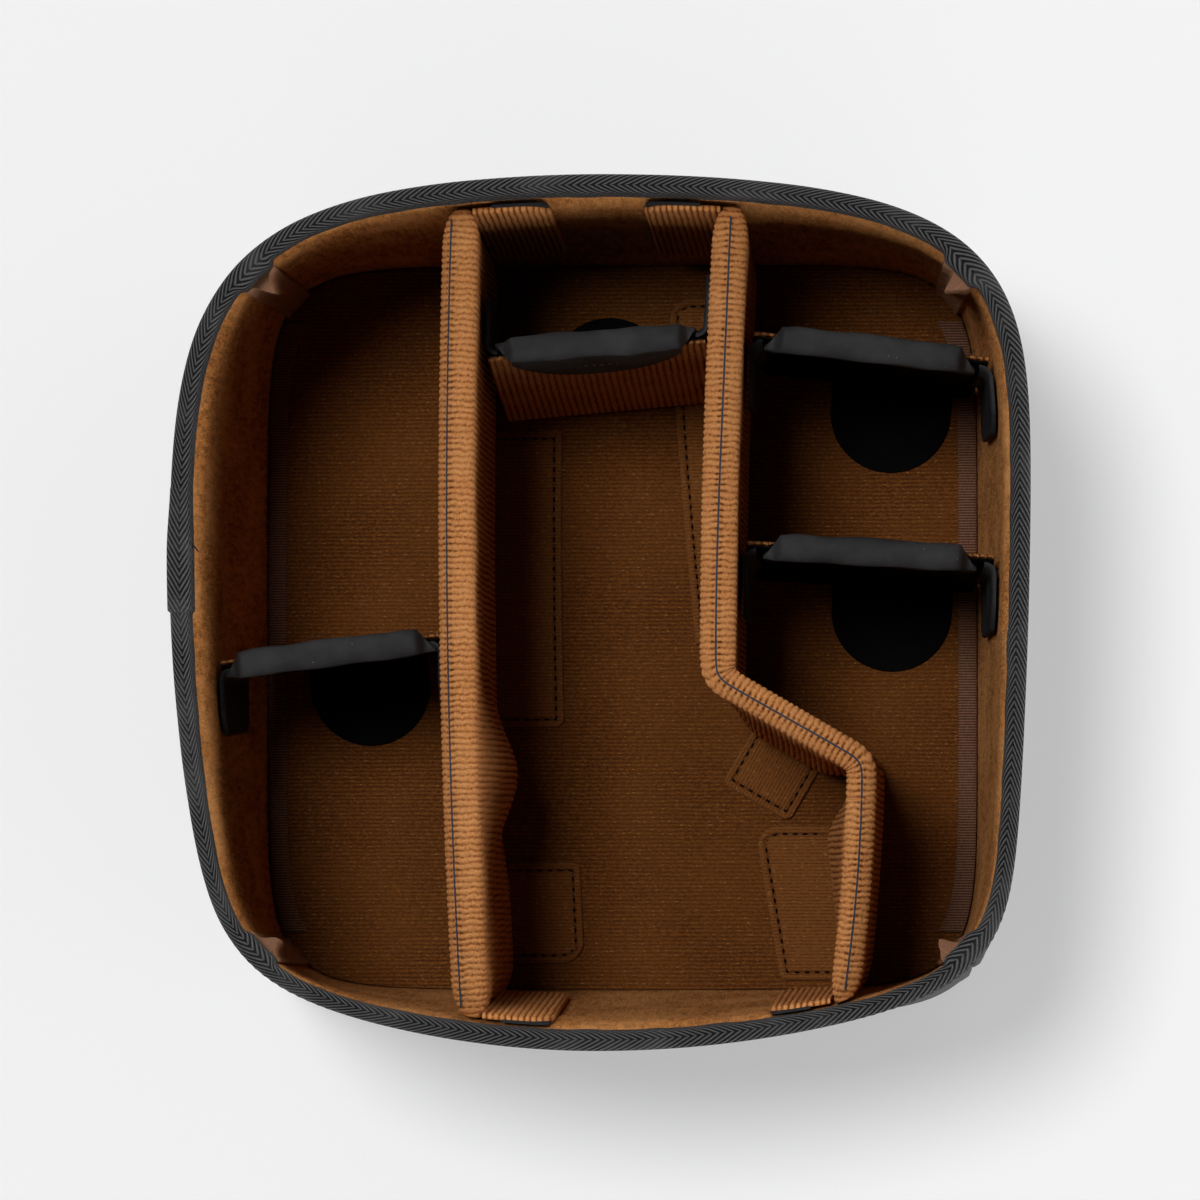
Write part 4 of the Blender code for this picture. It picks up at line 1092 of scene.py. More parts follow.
    def stitches(self) -> None:
        """Lockstitches along the binding's outer leg, two millimetres above its edge."""
        turns = FORM.turns(900)
        around = self.around(turns, FORM.height)
        count = int(around[-1] / self.stitch_pitch)
        middles = (np.arange(count) + 0.5) * around[-1] / count
        spots = middles[:, None] + np.linspace(-0.0011, 0.0011, 4)[None, :]
        centres = FORM.ring(np.interp(spots, around, turns), FORM.height - self.rim_drop + 0.002, -0.00002)
        along = unit(np.gradient(centres, axis=1))
        up = np.broadcast_to(UP, along.shape)
        sewing = Sewing("rim_stitches")
        sewing.tubes(centres, up, unit(np.cross(along, up)), np.array((2e-5, 0.00015, 0.00015, 2e-5)))
        dress(sewing.make(BLACK_THREAD), "tub")

    def build(self) -> None:
        """Makes every piece of the tub."""
        for side in Side:
            self.foam_pad(side)
        self.shell()
        self.lining()
        self.base()
        self.rim()
        self.lap()
        self.loose_ends()
        self.stitches()
        for name, eighths in (("rear_right", 1), ("rear_left", 3), ("front_left", 5), ("front_right", 7)):
            self.corner(name, eighths)
        self.floor_tape("left_floor_tape", -1)
        self.floor_tape("right_floor_tape", 1)


# Flaps and tabs


@dataclass(frozen=True)
class Flap:
    """A small sewn flap, tab or tongue, as a flat cut: distances along its fold from low to high, and
    outwards from the fold to length, with a rounded corner at each end of its outer edge."""

    name: str
    low: float
    high: float
    length: float
    thickness: float
    corner_low: float
    corner_high: float
    behind: float = 0.002
    taper: float = 0.0
    ribs: float = 0.0
    pitch: float = 0.0011
    stitch_inset: float = 0.0
    stitch_pitch: float = 0.0034

    def span(self, outward: Array) -> tuple[Array, Array]:
        """Where the two side edges lie at a distance outwards, each taken in at its rounded corner by
        the corner's radius less the height of its circle there.

        Args:
            outward: Distance outwards.

        Returns:
            The low and the high edge.
        """
        def taken(corner: float) -> Array:
            """How far a corner takes its edge in."""
            over = np.clip(outward - self.length + corner, 0, corner)
            return corner - np.sqrt(np.maximum(corner ** 2 - over ** 2, 0))
        return self.low + taken(self.corner_low), self.high - taken(self.corner_high)

    def cloth(self, place: Place, finish: Finish) -> bpy.types.Object:
        """The flap's own mesh. Its thickness falls to a third at the edges on a circle, a groove runs
        where the stitches pull it in, and ribs run outwards.

        Args:
            place: Turns distances along, outwards and off into places.
            finish: Its finish.

        Returns:
            The mesh object.
        """
        wide = self.high - self.low
        count = int(wide / self.pitch * 7) if self.ribs else 50
        rim = np.array((0.0, 0.0001, 0.00025, 0.0005)) / wide
        eased = np.unique(np.concatenate([rim, 1 - rim, np.linspace(0, 1, count)[1:-1]]))
        outward = mix(-self.behind, self.length, np.sin(np.linspace(0, math.pi / 2, 60)) ** 1.3)[None, :]
        low, high = self.span(outward)
        along = mix(low, high, eased[:, None])
        reach = self.length + self.taper * (along - self.low) / wide
        outward = np.where(outward > 0, outward * reach / self.length, outward + 0 * along)
        edge = np.minimum(np.minimum(along - low, high - along), reach - outward)
        dip = bump((edge - (self.stitch_inset or 1.0)) / 0.0006)
        groove = 0.32 * self.thickness * dip * smooth(outward / 0.001)
        ridge = ribbing(along, self.pitch, 0.8)
        relief = self.ribs * (ridge - 1) * smooth(edge / 0.001) + 0.04 * self.thickness * waves(
            along / 0.006, outward / 0.006, len(self.name))
        lift = self.thickness * mix(0.3, 1.0, rounded(edge, 0.7 * self.thickness)) - groove + relief
        # Painted shade: the tone is low in the rib valleys and along the groove under the stitches, and the
        # tab's finish darkens it there.
        tone = mix(0.25, 1.0, ridge) * mix(0.35, 1.0, 1 - dip) if self.ribs else None
        return Sewing(self.name).sheet(place(along, outward, lift), place(along, outward, 0 * lift),
                                       pair(along, outward), tone).make(finish)

    def ribbed(self, place: Place, finish: Finish) -> bpy.types.Object:
        """The mesh of a flap whose ribs run along its fold instead of outwards from it.

        Args:
            place: Turns distances along, outwards and off into places.
            finish: Its finish.

        Returns:
            The mesh object.
        """
        eased = (1 - np.cos(np.linspace(0, math.pi, 60))) / 2
        count = int((self.length + self.behind) / self.pitch * 8)
        outward = np.concatenate([np.linspace(-self.behind, self.length, count),
                                  self.length - np.array((0.00012, 0.0003, 0.0006))])
        outward = np.unique(outward)[None, :]
        low, high = self.span(outward)
        along = mix(low, high, eased[:, None])
        outward = outward + 0 * along
        edge = np.minimum(np.minimum(along - low, high - along), self.length - outward)
        curve = rounded(edge, 0.8 * self.thickness)
        wander = 0.00014 * waves(along / 0.012, outward / 0.012, len(self.name))
        ridge = ribbing(outward + wander, self.pitch)
        lift = self.thickness * mix(0.3, 1.0, curve) + self.ribs * (ridge - 0.85) * curve
        # Painted shade: the ridge goes in as the tone, which darkens the knit's rib valleys.
        return Sewing(self.name).sheet(place(along, outward, lift), place(along, outward, 0 * lift),
                                       pair(outward, along), ridge).make(finish, 180.0)

    def seam_line(self) -> Array:
        """Places of the stitches, as distances along and outwards: down one side, across the outer
        edge and up the other, with short rounds between.

        Returns:
            (stitches, stations, 2) distances.
        """
        inset = self.stitch_inset
        low, high, out = self.low + inset, self.high - inset, self.length - inset
        first = max(self.corner_low - inset, 0.0006)
        second = max(self.corner_high - inset, 0.0006)
        turn = np.linspace(0, math.pi / 2, 7)[:, None]

        def round_at(along: float, radius: float, way: int) -> Array:
            """A quarter circle at one corner."""
            centre = np.array((along, out - radius))
            return centre + radius * np.concatenate([way * np.cos(turn), np.sin(turn)], axis=1)

        path = np.concatenate([[(low, 0.0)], round_at(low + first, first, -1),
                               round_at(high - second, second, 1)[::-1], [(high, 0.0)]])
        path[1:-1, 1] += self.taper * (path[1:-1, 0] - self.low) / (self.high - self.low)
        walked = lengths(path)
        count = int(walked[-1] / self.stitch_pitch)
        middles = (np.arange(count) + 0.5) * walked[-1] / count
        spots = middles[:, None] + np.linspace(-0.0011, 0.0011, 5)[None, :]
        return np.stack([np.interp(spots, walked, path[:, n]) for n in range(2)], axis=-1)

    def stitches(self, place: Place, finish: Finish) -> bpy.types.Object:
        """The stitches: short thick threads that dip into the cloth at both ends.

        Args:
            place: Turns distances along, outwards and off into places.
            finish: Its finish.

        Returns:
            The mesh object.
        """
        along, outward = np.moveaxis(self.seam_line(), -1, 0)
        lift = 0.74 * self.thickness - 0.0003 * np.square(np.linspace(-1, 1, 5))[None, :] + 0 * along
        centres = place(along, outward, lift)
        above = unit(place(along, outward, lift + 0.0005) - centres)
        radii = (0.00003, 0.00034, 0.00038, 0.00034, 0.00003)
        return Sewing(self.name + "_stitches").threads(centres, above, radii).make(finish)


# Main dividers


@dataclass(frozen=True)
class Run:
    """One straight run of a main divider in plan, walked from its start to its end. Distances to its
    side are positive on the left hand."""

    start: tuple
    end: tuple
    top_half: float
    bow: float = 0.0

    @property
    def length(self) -> float:
        """Distance from the start to the end."""
        return math.dist(self.start, self.end)

    @property
    def along(self) -> Array:
        """Unit vector from the start to the end."""
        return (np.array(self.end) - np.array(self.start)) / self.length

    @property
    def aside(self) -> Array:
        """Unit vector to the left hand."""
        return np.array((-self.along[1], self.along[0]))

    def centre(self, distance: Array) -> Array:
        """Plan points of the centre line, bowed to the side by 4s(1 - s).

        Args:
            distance: Distances along the centre line.

        Returns:
            The points.
        """
        distance = np.asarray(distance, float)
        share = distance / self.length
        bow = self.bow * 4 * share * (1 - share)
        return np.array(self.start) + distance[..., None] * self.along + bow[..., None] * self.aside

    def face_x(self, y: Array, side: int, half: float) -> Array:
        """Where the face on a side crosses y, at a half thickness."""
        distance = (self.start[1] - y) / -self.along[1]
        return self.centre(distance)[..., 0] + side * half / abs(self.along[1])

    def wall_distance(self, corner: Sequence[float], towards: int, height: Array, aside: Array,
                      clearance: float) -> Array:
        """Distance along the run to the front or rear wall, at a height and a distance to the side.

        Args:
            corner: The run's end at that wall.
            towards: 1 for the rear wall and -1 for the front one.
            height: Height above the base.
            aside: Distance to the side.
            clearance: Distance that it keeps off.

        Returns:
            The distance.
        """
        x = corner[0] + self.aside[0] * aside
        edge = FORM.end_y(towards, x, height, FORM.lining_in + clearance)
        return (edge - self.start[1] - self.aside[1] * aside) / self.along[1]


@dataclass
class PaddedDivider:
    """A main divider: a foam board in ribbed knit that follows its runs, with rounded folds between
    them, a seam thread on its crown, and end flaps and floor tabs."""

    name: str
    runs: Sequence[Run]
    flare: Callable[[Array, int, Array], Array]
    thread_aside: Callable[[Array], Array]
    clearance: float = 0.0007
    foot: float = 0.0083
    top: float = 0.128
    foot_half: float = 0.0042
    waist: float = 0.0006
    rib_pitch: float = 0.00205
    rib_depth: float = 0.00060
    soften: float = 0.0030
    round_end: float = 0.011
    slack: float = 0.00035
    puff_length: float = 0.0021
    seed: int = 1

    def __post_init__(self) -> None:
        """Samples the centre line and smooths its folds with a bell-shaped average."""
        step = 0.00025
        spare = 0.03
        within = [0.0] * (len(self.runs) - 1)
        line = np.concatenate([run.centre(np.arange(first, run.length + extra, step)) for run, first, extra
                               in zip(self.runs, [-spare] + within, within + [spare])])
        width = int(3 * self.soften / step)
        kernel = bump(np.arange(-width, width + 1) * step / (self.soften * math.sqrt(2)))
        kernel /= kernel.sum()
        padded = np.concatenate([line[:1] + (line[:1] - line[1:width + 1][::-1]), line,
                                 line[-1:] + (line[-1:] - line[-width - 1:-1][::-1])])
        self.line = np.stack([np.convolve(padded[:, n], kernel, "valid") for n in range(2)], axis=-1)
        walked = lengths(self.line)
        self.walked = walked - walked[int(spare / step)]
        self.total = self.walked[-1] - spare
        self.fold_distances = [self.nearest(run.end) for run in self.runs[:-1]]

    def nearest(self, spot: Sequence[float]) -> float:
        """Distance along the smoothed line where it passes nearest to a spot."""
        return float(self.walked[np.argmin(np.linalg.norm(self.line - np.array(spot), axis=1))])

    def half_at(self, distance: Array) -> Array:
        """Half thickness of the crown at a distance, eased from one run to the next over a fold.

        Args:
            distance: Distances along the centre line.

        Returns:
            The half thickness at each distance.
        """
        half = np.full(np.shape(distance), self.runs[0].top_half)
        for fold, run, after in zip(self.fold_distances, self.runs, self.runs[1:]):
            share = smooth((distance - fold + 0.008) / 0.016)
            half = half + (after.top_half - run.top_half) * share
        return half

    def plan(self, distance: Array) -> tuple[Array, Array]:
        """Centre and left-hand unit vector at each distance.

        Args:
            distance: Distances along the centre line.

        Returns:
            The points and the vectors.
        """
        centre, along = (np.stack([np.interp(distance, self.walked, line[:, n]) for n in range(2)], axis=-1)
                         for line in (self.line, np.gradient(self.line, axis=0)))
        along = unit(along)
        return centre, np.stack([-along[..., 1], along[..., 0]], axis=-1)

    def section(self) -> tuple[Array, Array, Array]:
        """Share up, turn over the crown and share outwards of each point of the closed section, from
        the middle of the foot round by the left-hand face and the crown to the other face and back.

        Returns:
            The three values at each point.
        """
        rise = np.linspace(0.0, 1, 15)[1:]
        fall = np.linspace(1, 0.0, 15)[:-1]
        foot = np.array((0.0, 0.55, 0.93))
        up = np.concatenate([np.zeros(3), rise, np.ones(21), fall, np.zeros(3)])
        turn = np.concatenate([np.zeros(17), np.linspace(0, math.pi, 23)[1:-1], np.full(17, math.pi)])
        return up, turn, np.concatenate([foot, np.ones(49), foot[::-1]])

    def surface(self, distance: Array, low: Optional[float], high: Optional[float],
                share: Array) -> tuple[Array, Array, Array, Array]:
        """The smooth padding, before its ribs.

        The half thickness is a mix of foot and crown less a waist, plus the flare of the face; over the
        crown the section is a half circle. Where an end stands at a wall, the distance is stretched so
        that every height reaches the wall there.

        Args:
            distance: (stations,) nominal distances.
            low: Nominal distance of the first station, or None at the rear wall.
            high: The same for the last station, or None at the front wall.
            share: (stations,) share of the way from the first to the last station.

        Returns:
            Places, outward unit vectors, distances along and distances round, each on the grid.
        """
        up, turn, inwards = self.section()
        half_top = self.half_at(distance)[:, None]
        crown = self.top - half_top
        over = (turn > 0) & (turn < math.pi)
        height = np.where(over, crown + half_top * np.sin(turn), mix(self.foot, crown, up))
        side = np.where(turn > math.pi / 2, -1, 1)
        width = mix(self.foot_half, half_top, up) - self.waist * arch(up)
        widest = width + np.where(side > 0, *(self.flare(distance[:, None], way, up) for way in (1, -1)))
        aside = np.where(over, half_top * np.cos(turn), side * widest) * inwards
        first, last = self.runs[0], self.runs[-1]
        begin = first.wall_distance(first.start, 1, height, aside, self.clearance) if low is None else low
        end = high
        if high is None:
            start = self.fold_distances[-1] if self.fold_distances else 0.0
            end = start + last.wall_distance(last.end, -1, height, aside, self.clearance)
            end = end - (last.length - (self.total - start))
        along = mix(begin, end, share[:, None]) + 0.0 * aside
        shut = np.ones(along.shape)
        if low is None:
            shut = shut * rounded(along - begin, self.round_end, 0.72)
        if high is None:
            shut = shut * rounded(end - along, self.round_end, 0.72)
        aside = aside * shut
        height = np.where(up >= 1, crown + (height - crown) * shut, height)
        aside = aside + self.slack * waves(along / 0.045, height / 0.04, self.seed) * arch(up) * side
        centre, left = self.plan(along)
        places = np.concatenate([centre + left * aside[..., None], height[..., None]], axis=-1)
        away = unit(pair(np.gradient(height, axis=1), -np.gradient(aside, axis=1)))
        over = over[None, :, None]
        away = away * np.where((away[..., :1] * aside[..., None] < 0) & ~over, -1, 1)
        away = np.where(over & (away[..., 1:] < 0), -away, away)
        normal = np.concatenate([left * away[..., :1], away[..., 1:]], axis=-1)
        around = np.cumsum(np.concatenate([np.zeros((len(distance), 1)), np.hypot(
            np.diff(height, axis=1), np.diff(aside, axis=1))], axis=1), axis=1)
        return places, normal, along, around

    def knit(self, along: Array, around: Array) -> Array:
        """Height of the ribbed knit from 0 in a valley to 1 on a rib: a power of the absolute sine of
        the distance along, whose line wanders slowly, dented where the puffs of a rib meet.

        Args:
            along: Distances along the cloth.
            around: Distances round the section.

        Returns:
            The height at each point.
        """
        along = along + 0.00024 * waves(along / 0.009, around / 0.006, self.seed + 50)
        number = np.floor(along / self.rib_pitch)
        puff = np.abs(arch(around / self.puff_length + 0.5 * (number % 2)))
        return ribbing(along, self.rib_pitch) * mix(0.86, 1.0, puff)

    def panel(self, piece: str, low: Optional[float], high: Optional[float]) -> bpy.types.Object:
        """The padded body between two distances: the smooth padding, with the knit's height added
        along the outward vector, and both ends closed.

        Args:
            piece: The piece's name.
            low: Distance at which it starts, or None at the rear wall.
            high: Distance at which it ends, or None at the front wall.

        Returns:
            The mesh object.
        """
        first = 0.0 if low is None else low
        last = self.total if high is None else high
        count = max(int((last - first) / self.rib_pitch * 8), 16)
        share = np.linspace(0, 1, count + 1)
        if low is None:
            share = np.concatenate([[0.0, 0.001, 0.0025], share[1:]])
        if high is None:
            share = np.concatenate([share[:-1], [0.9975, 0.999, 1.0]])
        share = np.unique(share)
        distance = mix(first, last, share)
        places, normal, along, around = self.surface(distance, low, high, share)
        up = self.section()[0]
        rib = self.knit(along, around)
        dimple = bump((np.abs(around - self.thread_around(distance, around)) - 0.0011) / 0.0007)
        depth = self.rib_depth * smooth(up / 0.03) * (1 + 0.4 * dimple)
        points = places + normal * (depth * (rib - 0.72))[..., None]
        # Painted shade: the tone darkens the rib valleys, far more down the faces than over the crown, and
        # most at the dimples beside the thread and the dashes where a rib's puffs meet.
        dash = 0.6 * np.square(np.sin(math.pi * around / 0.0023 + 3 * waves(along / 0.006, around, 90)))
        face = 1 - smooth((up - 0.55) / 0.4)
        tone = 1 - np.clip(1 - rib, 0, 1) * mix(0.35 + 0.75 * face, 1.2, np.maximum(dimple, dash))
        cloth = pair(along, around)
        sewing = Sewing(piece).grid(points, cloth, tone)
        steps = np.linspace(0, 1, 4)[:, None, None]
        for row in (0, -1):
            lid, worn = (mix(loop[None], loop[None, ::-1], steps)[:, :points.shape[1] // 2 + 1]
                         for loop in (points[row], cloth[row]))
            sewing.grid(lid, worn, 0.4)
        return sewing.make(KNIT, 180.0)

    def thread_turn(self, distance: Array) -> Array:
        """Turn over the crown at which the thread lies, for each station."""
        return np.arccos(np.clip(self.thread_aside(distance) / self.half_at(distance), -0.95, 0.95))

    def thread_around(self, distance: Array, around: Array) -> Array:
        """Distance round the section where the thread lies, for each station."""
        return around[:, 16:17] + (self.thread_turn(distance) * self.half_at(distance))[:, None]

    def thread(self, piece: str, low: Optional[float], high: Optional[float]) -> bpy.types.Object:
        """The seam thread on the crown between two distances, sunk a little between ribs.

        Args:
            piece: The piece's name.
            low: Distance at which it starts, or None at the rear wall.
            high: Distance at which it ends, or None at the front wall.

        Returns:
            The mesh object.
        """
        first = 0.004 if low is None else low
        last = self.total - 0.004 if high is None else high
        distance = np.linspace(first, last, int((last - first) / 0.0004) + 2)
        half = self.half_at(distance)
        turn = self.thread_turn(distance)
        centre, left = self.plan(distance)
        reach = half + self.rib_depth * (0.55 * ribbing(distance, self.rib_pitch) - 0.32)
        normal = np.concatenate([left * np.cos(turn)[:, None], np.sin(turn)[:, None]], axis=-1)
        middle = np.concatenate([centre, (self.top - half)[:, None]], axis=-1)
        line = middle + normal * reach[:, None]
        across = unit(np.cross(unit(np.gradient(line, axis=0)), normal))
        radii = np.full(len(line), 0.00033)
        radii[[0, -1]] = 0.00003
        return Sewing(piece).tubes(line[None], across[None], normal[None], radii, 0.75).make(SEAM_THREAD)


@dataclass
class EndFlap:
    """An end flap of a main divider, which lies on the front or rear wall. towards is the way that it
    points in x, and end is 1 on the rear wall and -1 on the front one."""

    node: str
    face: float
    towards: int
    end: int
    length: float
    low: float = 0.036
    high: float = 0.126
    clearance: float = 0.0013
    behind: float = 0.0006

    def build(self, before: str) -> None:
        """Makes the flap and its hook strip, and hands the flap's fold to dress as its hinge.

        Args:
            before: The body on the divider's side of the fold.
        """
        root = self.face + self.towards * self.clearance

        def place(along: Array, outward: Array, lift: Array) -> Array:
            """Up the wall, out along it, and off it.

            Args:
                along: Distances along the cloth.
                outward: Distances outwards from the fold.
                lift: Heights off the surface.

            Returns:
                The places.
            """
            x = root + self.towards * outward
            y = FORM.end_y(self.end, x, along, FORM.lining_in + self.behind + lift)
            return np.stack([x, y, along], axis=-1)

        flap = Flap(self.node + "_cloth", self.low, self.high, self.length, thickness=0.0018,
                    corner_low=0.010, corner_high=0.010, behind=0.0034, ribs=0.0005, pitch=0.00205)
        made = flap.ribbed(place, KNIT)
        fold = Hinge(before, self.node + "_body", (root - self.towards * 0.0012, 0.0, 0.08),
                     (root + self.towards * 0.0022, 0.0, 0.08))
        dress(made, "", [self.node], fold)
        strip = Flap(self.node + "_cloth_hooks", self.low + 0.002, self.high + 0.0016,
                     self.length - 0.0008, thickness=0.0009, corner_low=0.009, corner_high=0.004,
                     behind=-0.0030)
        hooks = strip.cloth(lambda along, outward, lift: place(along, outward, lift - 0.0005), HOOKS)
        dress(hooks, self.node + "_body")


@dataclass
class FloorTab:
    """A tab that lies on the floor and folds at a main divider's foot. roots are plan points along the
    fold, outward is the unit vector away from the divider, and reaches are the distances outwards of
    the tab's two sides."""

    node: str
    roots: Array
    outward: Array
    reaches: tuple
    corners: tuple
    low: float = 0.0083

    def build(self, before: str, folds: bool = True) -> None:
        """Makes the tab and its stitches.

        Args:
            before: The body on the divider's side of the fold.
            folds: Whether the tab gets a body and a hinge of its own; its stitches ride on that body.
        """
        walked = lengths(self.roots)

        def place(along: Array, outward: Array, lift: Array) -> Array:
            """Along the fold, out over the floor, and up."""
            x, y = (np.interp(along, walked, self.roots[:, n]) + self.outward[n] * outward for n in (0, 1))
            return np.stack(np.broadcast_arrays(x, y, self.low + lift), axis=-1)

        flap = Flap(self.node + "_cloth", 0.0, float(walked[-1]), self.reaches[0], thickness=0.0016,
                    corner_low=self.corners[0], corner_high=self.corners[1], behind=0.0032,
                    taper=self.reaches[1] - self.reaches[0], ribs=0.00022, pitch=0.00115,
                    stitch_inset=0.0026)
        made = flap.cloth(place, LOOP_TAB)
        marks = flap.stitches(place, DARK_THREAD)
        body = self.node + "_body" if folds else before
        hinge = None
        if folds:
            middle = np.append((self.roots[0] + self.roots[-1]) / 2, 0.009)
            fold = unit(self.roots[-1] - self.roots[0])
            out = np.array((-fold[1], fold[0], 0.0))
            out = out * np.sign(out[:2] @ self.outward)
            hinge = Hinge(before, body, middle - out * 0.0012, middle + out * 0.0020)
        dress(made, body, [self.node], hinge)
        dress(marks, body)


MAIN_HALF = 0.0059
FOOT_HALF = 0.0042
TAB_BESIDE = 0.0013


def foot_line(run: Run, side: int, from_y: float, to_y: float, beside: float) -> Array:
    """Plan points along a divider's foot, the given distance beside its face."""
    y = np.linspace(from_y, to_y, 24)
    return pair(run.face_x(y, side, FOOT_HALF) + side * beside, y)


def wall_end(x: float, end: int) -> tuple[float, float]:
    """Plan point where a main divider meets the front or rear wall at its crown."""
    return x, float(FORM.end_y(end, x, 0.128, FORM.lining_in))


def left_run() -> Run:
    """Plan of the straight divider."""
    return Run(wall_end(-0.0455, 1), wall_end(-0.0421, -1), MAIN_HALF, -0.0031)


def right_runs() -> Sequence[Run]:
    """Plan of the jogged divider's three runs.

    Returns:
        The runs.
    """
    fold_one, fold_two = (0.0387, -0.0210), (0.0858, -0.0486)
    return (Run(wall_end(0.0435, 1), fold_one, MAIN_HALF, -0.0012), Run(fold_one, fold_two, 0.0048),
            Run(fold_two, wall_end(0.0798, -1), 0.0049, 0.0012))


@dataclass
class LeftDivider:
    """The straight padded divider, buckled near its front by its tabs."""

    buckle: float = 0.0100
    buckle_share: float = 0.70
    buckle_spread: float = 0.075
    front_flare: float = 0.0026

    def build(self) -> None:
        """Makes the padded panel, its thread, flaps and tabs."""
        run = left_run()

        def flare(distance: Array, side: int, up: Array) -> Array:
            """A bell-shaped buckle at one place, and a foot that spreads beyond it.

            Args:
                distance: Distances along the centre line.
                side: 1 on the left-hand face and -1 on the right-hand one.
                up: Shares up the face.

            Returns:
                How much wider the face stands.
            """
            share = distance / run.length
            bell = bump((share - self.buckle_share) / self.buckle_spread)
            if side < 0:
                return -self.buckle / 4 * bell * up * (1 - up)
            spread = self.front_flare * smooth((share - 0.76) / 0.12) * (1 - up)
            return self.buckle * bell * arch(up) ** 1.5 + spread

        name = "left_divider"
        divider = PaddedDivider(name, [run], flare, lambda distance: -0.0028 + 0 * distance, seed=3)
        panel = dress(divider.panel(name + "_padding", None, None), name, [name + "_panel"])
        dress(divider.thread(name + "_thread", None, None), name)
        for place, spot, end, length in (("rear", run.start, 1, 0.022), ("front", run.end, -1, 0.0195)):
            face = float(run.face_x(spot[1], 1, run.top_half))
            EndFlap(f"{name}_{place}_flap", face, 1, end, length).build(name)
        for place, first, last, beside, reach, corners in (
                ("rear", 0.067, -0.0342, TAB_BESIDE, 0.0212, (0.0004, 0.003)),
                ("front", -0.0805, -0.1147, self.front_flare + TAB_BESIDE, 0.0225, (0.003, 0.008))):
            FloorTab(f"{name}_{place}_tab", foot_line(run, 1, first, last, beside), np.array((1.0, 0.0)),
                     (reach, reach), corners).build(name)


@dataclass
class RightDivider:
    """The jogged padded divider: three runs joined by two upright folds."""

    diagonal_flare: float = 0.0031
    diagonal_puff: float = 0.0042
    flare_near: float = 0.0120
    flare_far: float = 0.0030
    beyond_fold: float = 0.012
    fold_reach: float = 0.008
    fold_height: float = 0.07

    def build(self) -> None:
        """Makes the three padded pieces, which meet beyond each fold, and what is sewn to them."""
        rear, diagonal, front = right_runs()
        folds: list[float] = []

        def flare(distance: Array, side: int, up: Array) -> Array:
            """The right-hand face spreads at its foot on the diagonal and on the front run.

            Args:
                distance: Distances along the centre line.
                side: 1 on the left-hand face and -1 on the right-hand one.
                up: Shares up the face.

            Returns:
                How much wider the face stands.
            """
            if side > 0:
                return 0.0 * distance * up
            share = (distance - folds[0]) / (folds[1] - folds[0])
            near = smooth(share / 0.3) * smooth((1 - share) / 0.3)
            beyond = (distance - folds[1]) / front.length
            spread = mix(self.flare_near, self.flare_far, smooth((beyond - 0.15) / 0.85))
            puff = self.diagonal_puff * np.sqrt(near) * smooth(up / 0.14)
            return (self.diagonal_flare * near + puff + spread * smooth((beyond + 0.02) / 0.36)) * (1 - up)

        def thread(distance: Array) -> Array:
            """The thread wanders a little across the crown."""
            return 0.0004 * np.sin(np.asarray(distance) / 0.03)

        name = "right_divider"
        divider = PaddedDivider(name, [rear, diagonal, front], flare, thread, seed=8)
        folds.extend(divider.fold_distances)
        ends = [None, *(fold + self.beyond_fold for fold in folds), None]
        bodies = (name, name + "_diagonal", name + "_front")
        for number, part in enumerate(("rear", "diagonal", "front")):
            hinge = None
            if number < 2:
                start, end = (np.append(divider.plan(np.array(folds[number] + reach))[0], self.fold_height)
                              for reach in (-self.fold_reach, self.fold_reach))
                hinge = Hinge(bodies[number], bodies[number + 1], start, end)
            span = ends[number], ends[number + 1]
            panel = divider.panel(f"{name}_{part}_padding", *span)
            dress(panel, bodies[number], [f"{name}_{part}_panel"], hinge)
            line = divider.thread(f"{name}_{part}_thread", *span)
            dress(line, bodies[number], (), hinge)
        face = float(rear.face_x(rear.start[1], -1, rear.top_half))
        EndFlap(name + "_rear_flap", face, -1, 1, 0.022).build(name)
        leftwards = np.array((-1.0, 0.0))
        roots = foot_line(rear, -1, 0.112, -0.006, TAB_BESIDE)
        FloorTab(name + "_rear_tab", roots, leftwards, (0.0205, 0.0078), (0.008, 0.0004)).build(name, False)
        beside = FOOT_HALF + self.diagonal_flare + TAB_BESIDE
        roots = diagonal.centre(np.array((0.0126, 0.0391))) - diagonal.aside * beside
        FloorTab(name + "_diagonal_tab", roots, -diagonal.aside, (0.0215, 0.0215),
                 (0.003, 0.003)).build(bodies[1])
        face = float(front.face_x(front.end[1], -1, front.top_half + self.flare_far / 2))
        EndFlap(name + "_front_flap", face, -1, -1, 0.017).build(bodies[2])
        beside = FOOT_HALF + np.array((self.flare_near, self.flare_far))[:, None] + TAB_BESIDE
        roots = front.centre(np.array((0.0209, 0.0726))) - front.aside * beside
        FloorTab(name + "_front_tab", roots, leftwards, (0.0222, 0.0178), (0.008, 0.003)).build(bodies[2])


# Small dividers


@dataclass(frozen=True)
class Neighbour:
    """What a small divider's side stands against: a side wall, or a main divider's face."""

    side: int
    run: Optional[Run] = None

    def at(self, y: Array, height: Array, clearance: Array) -> Array:
        """Its x at y and a height, less a clearance.

        Args:
            y: Its y.
            height: Height above the base.
            clearance: Distance that it keeps off.

        Returns:
            The x.
        """
        if self.run:
            return self.run.face_x(y, -self.side, self.run.top_half) - self.side * clearance
        return FORM.side_x(self.side, y, height, FORM.lining_in + clearance)


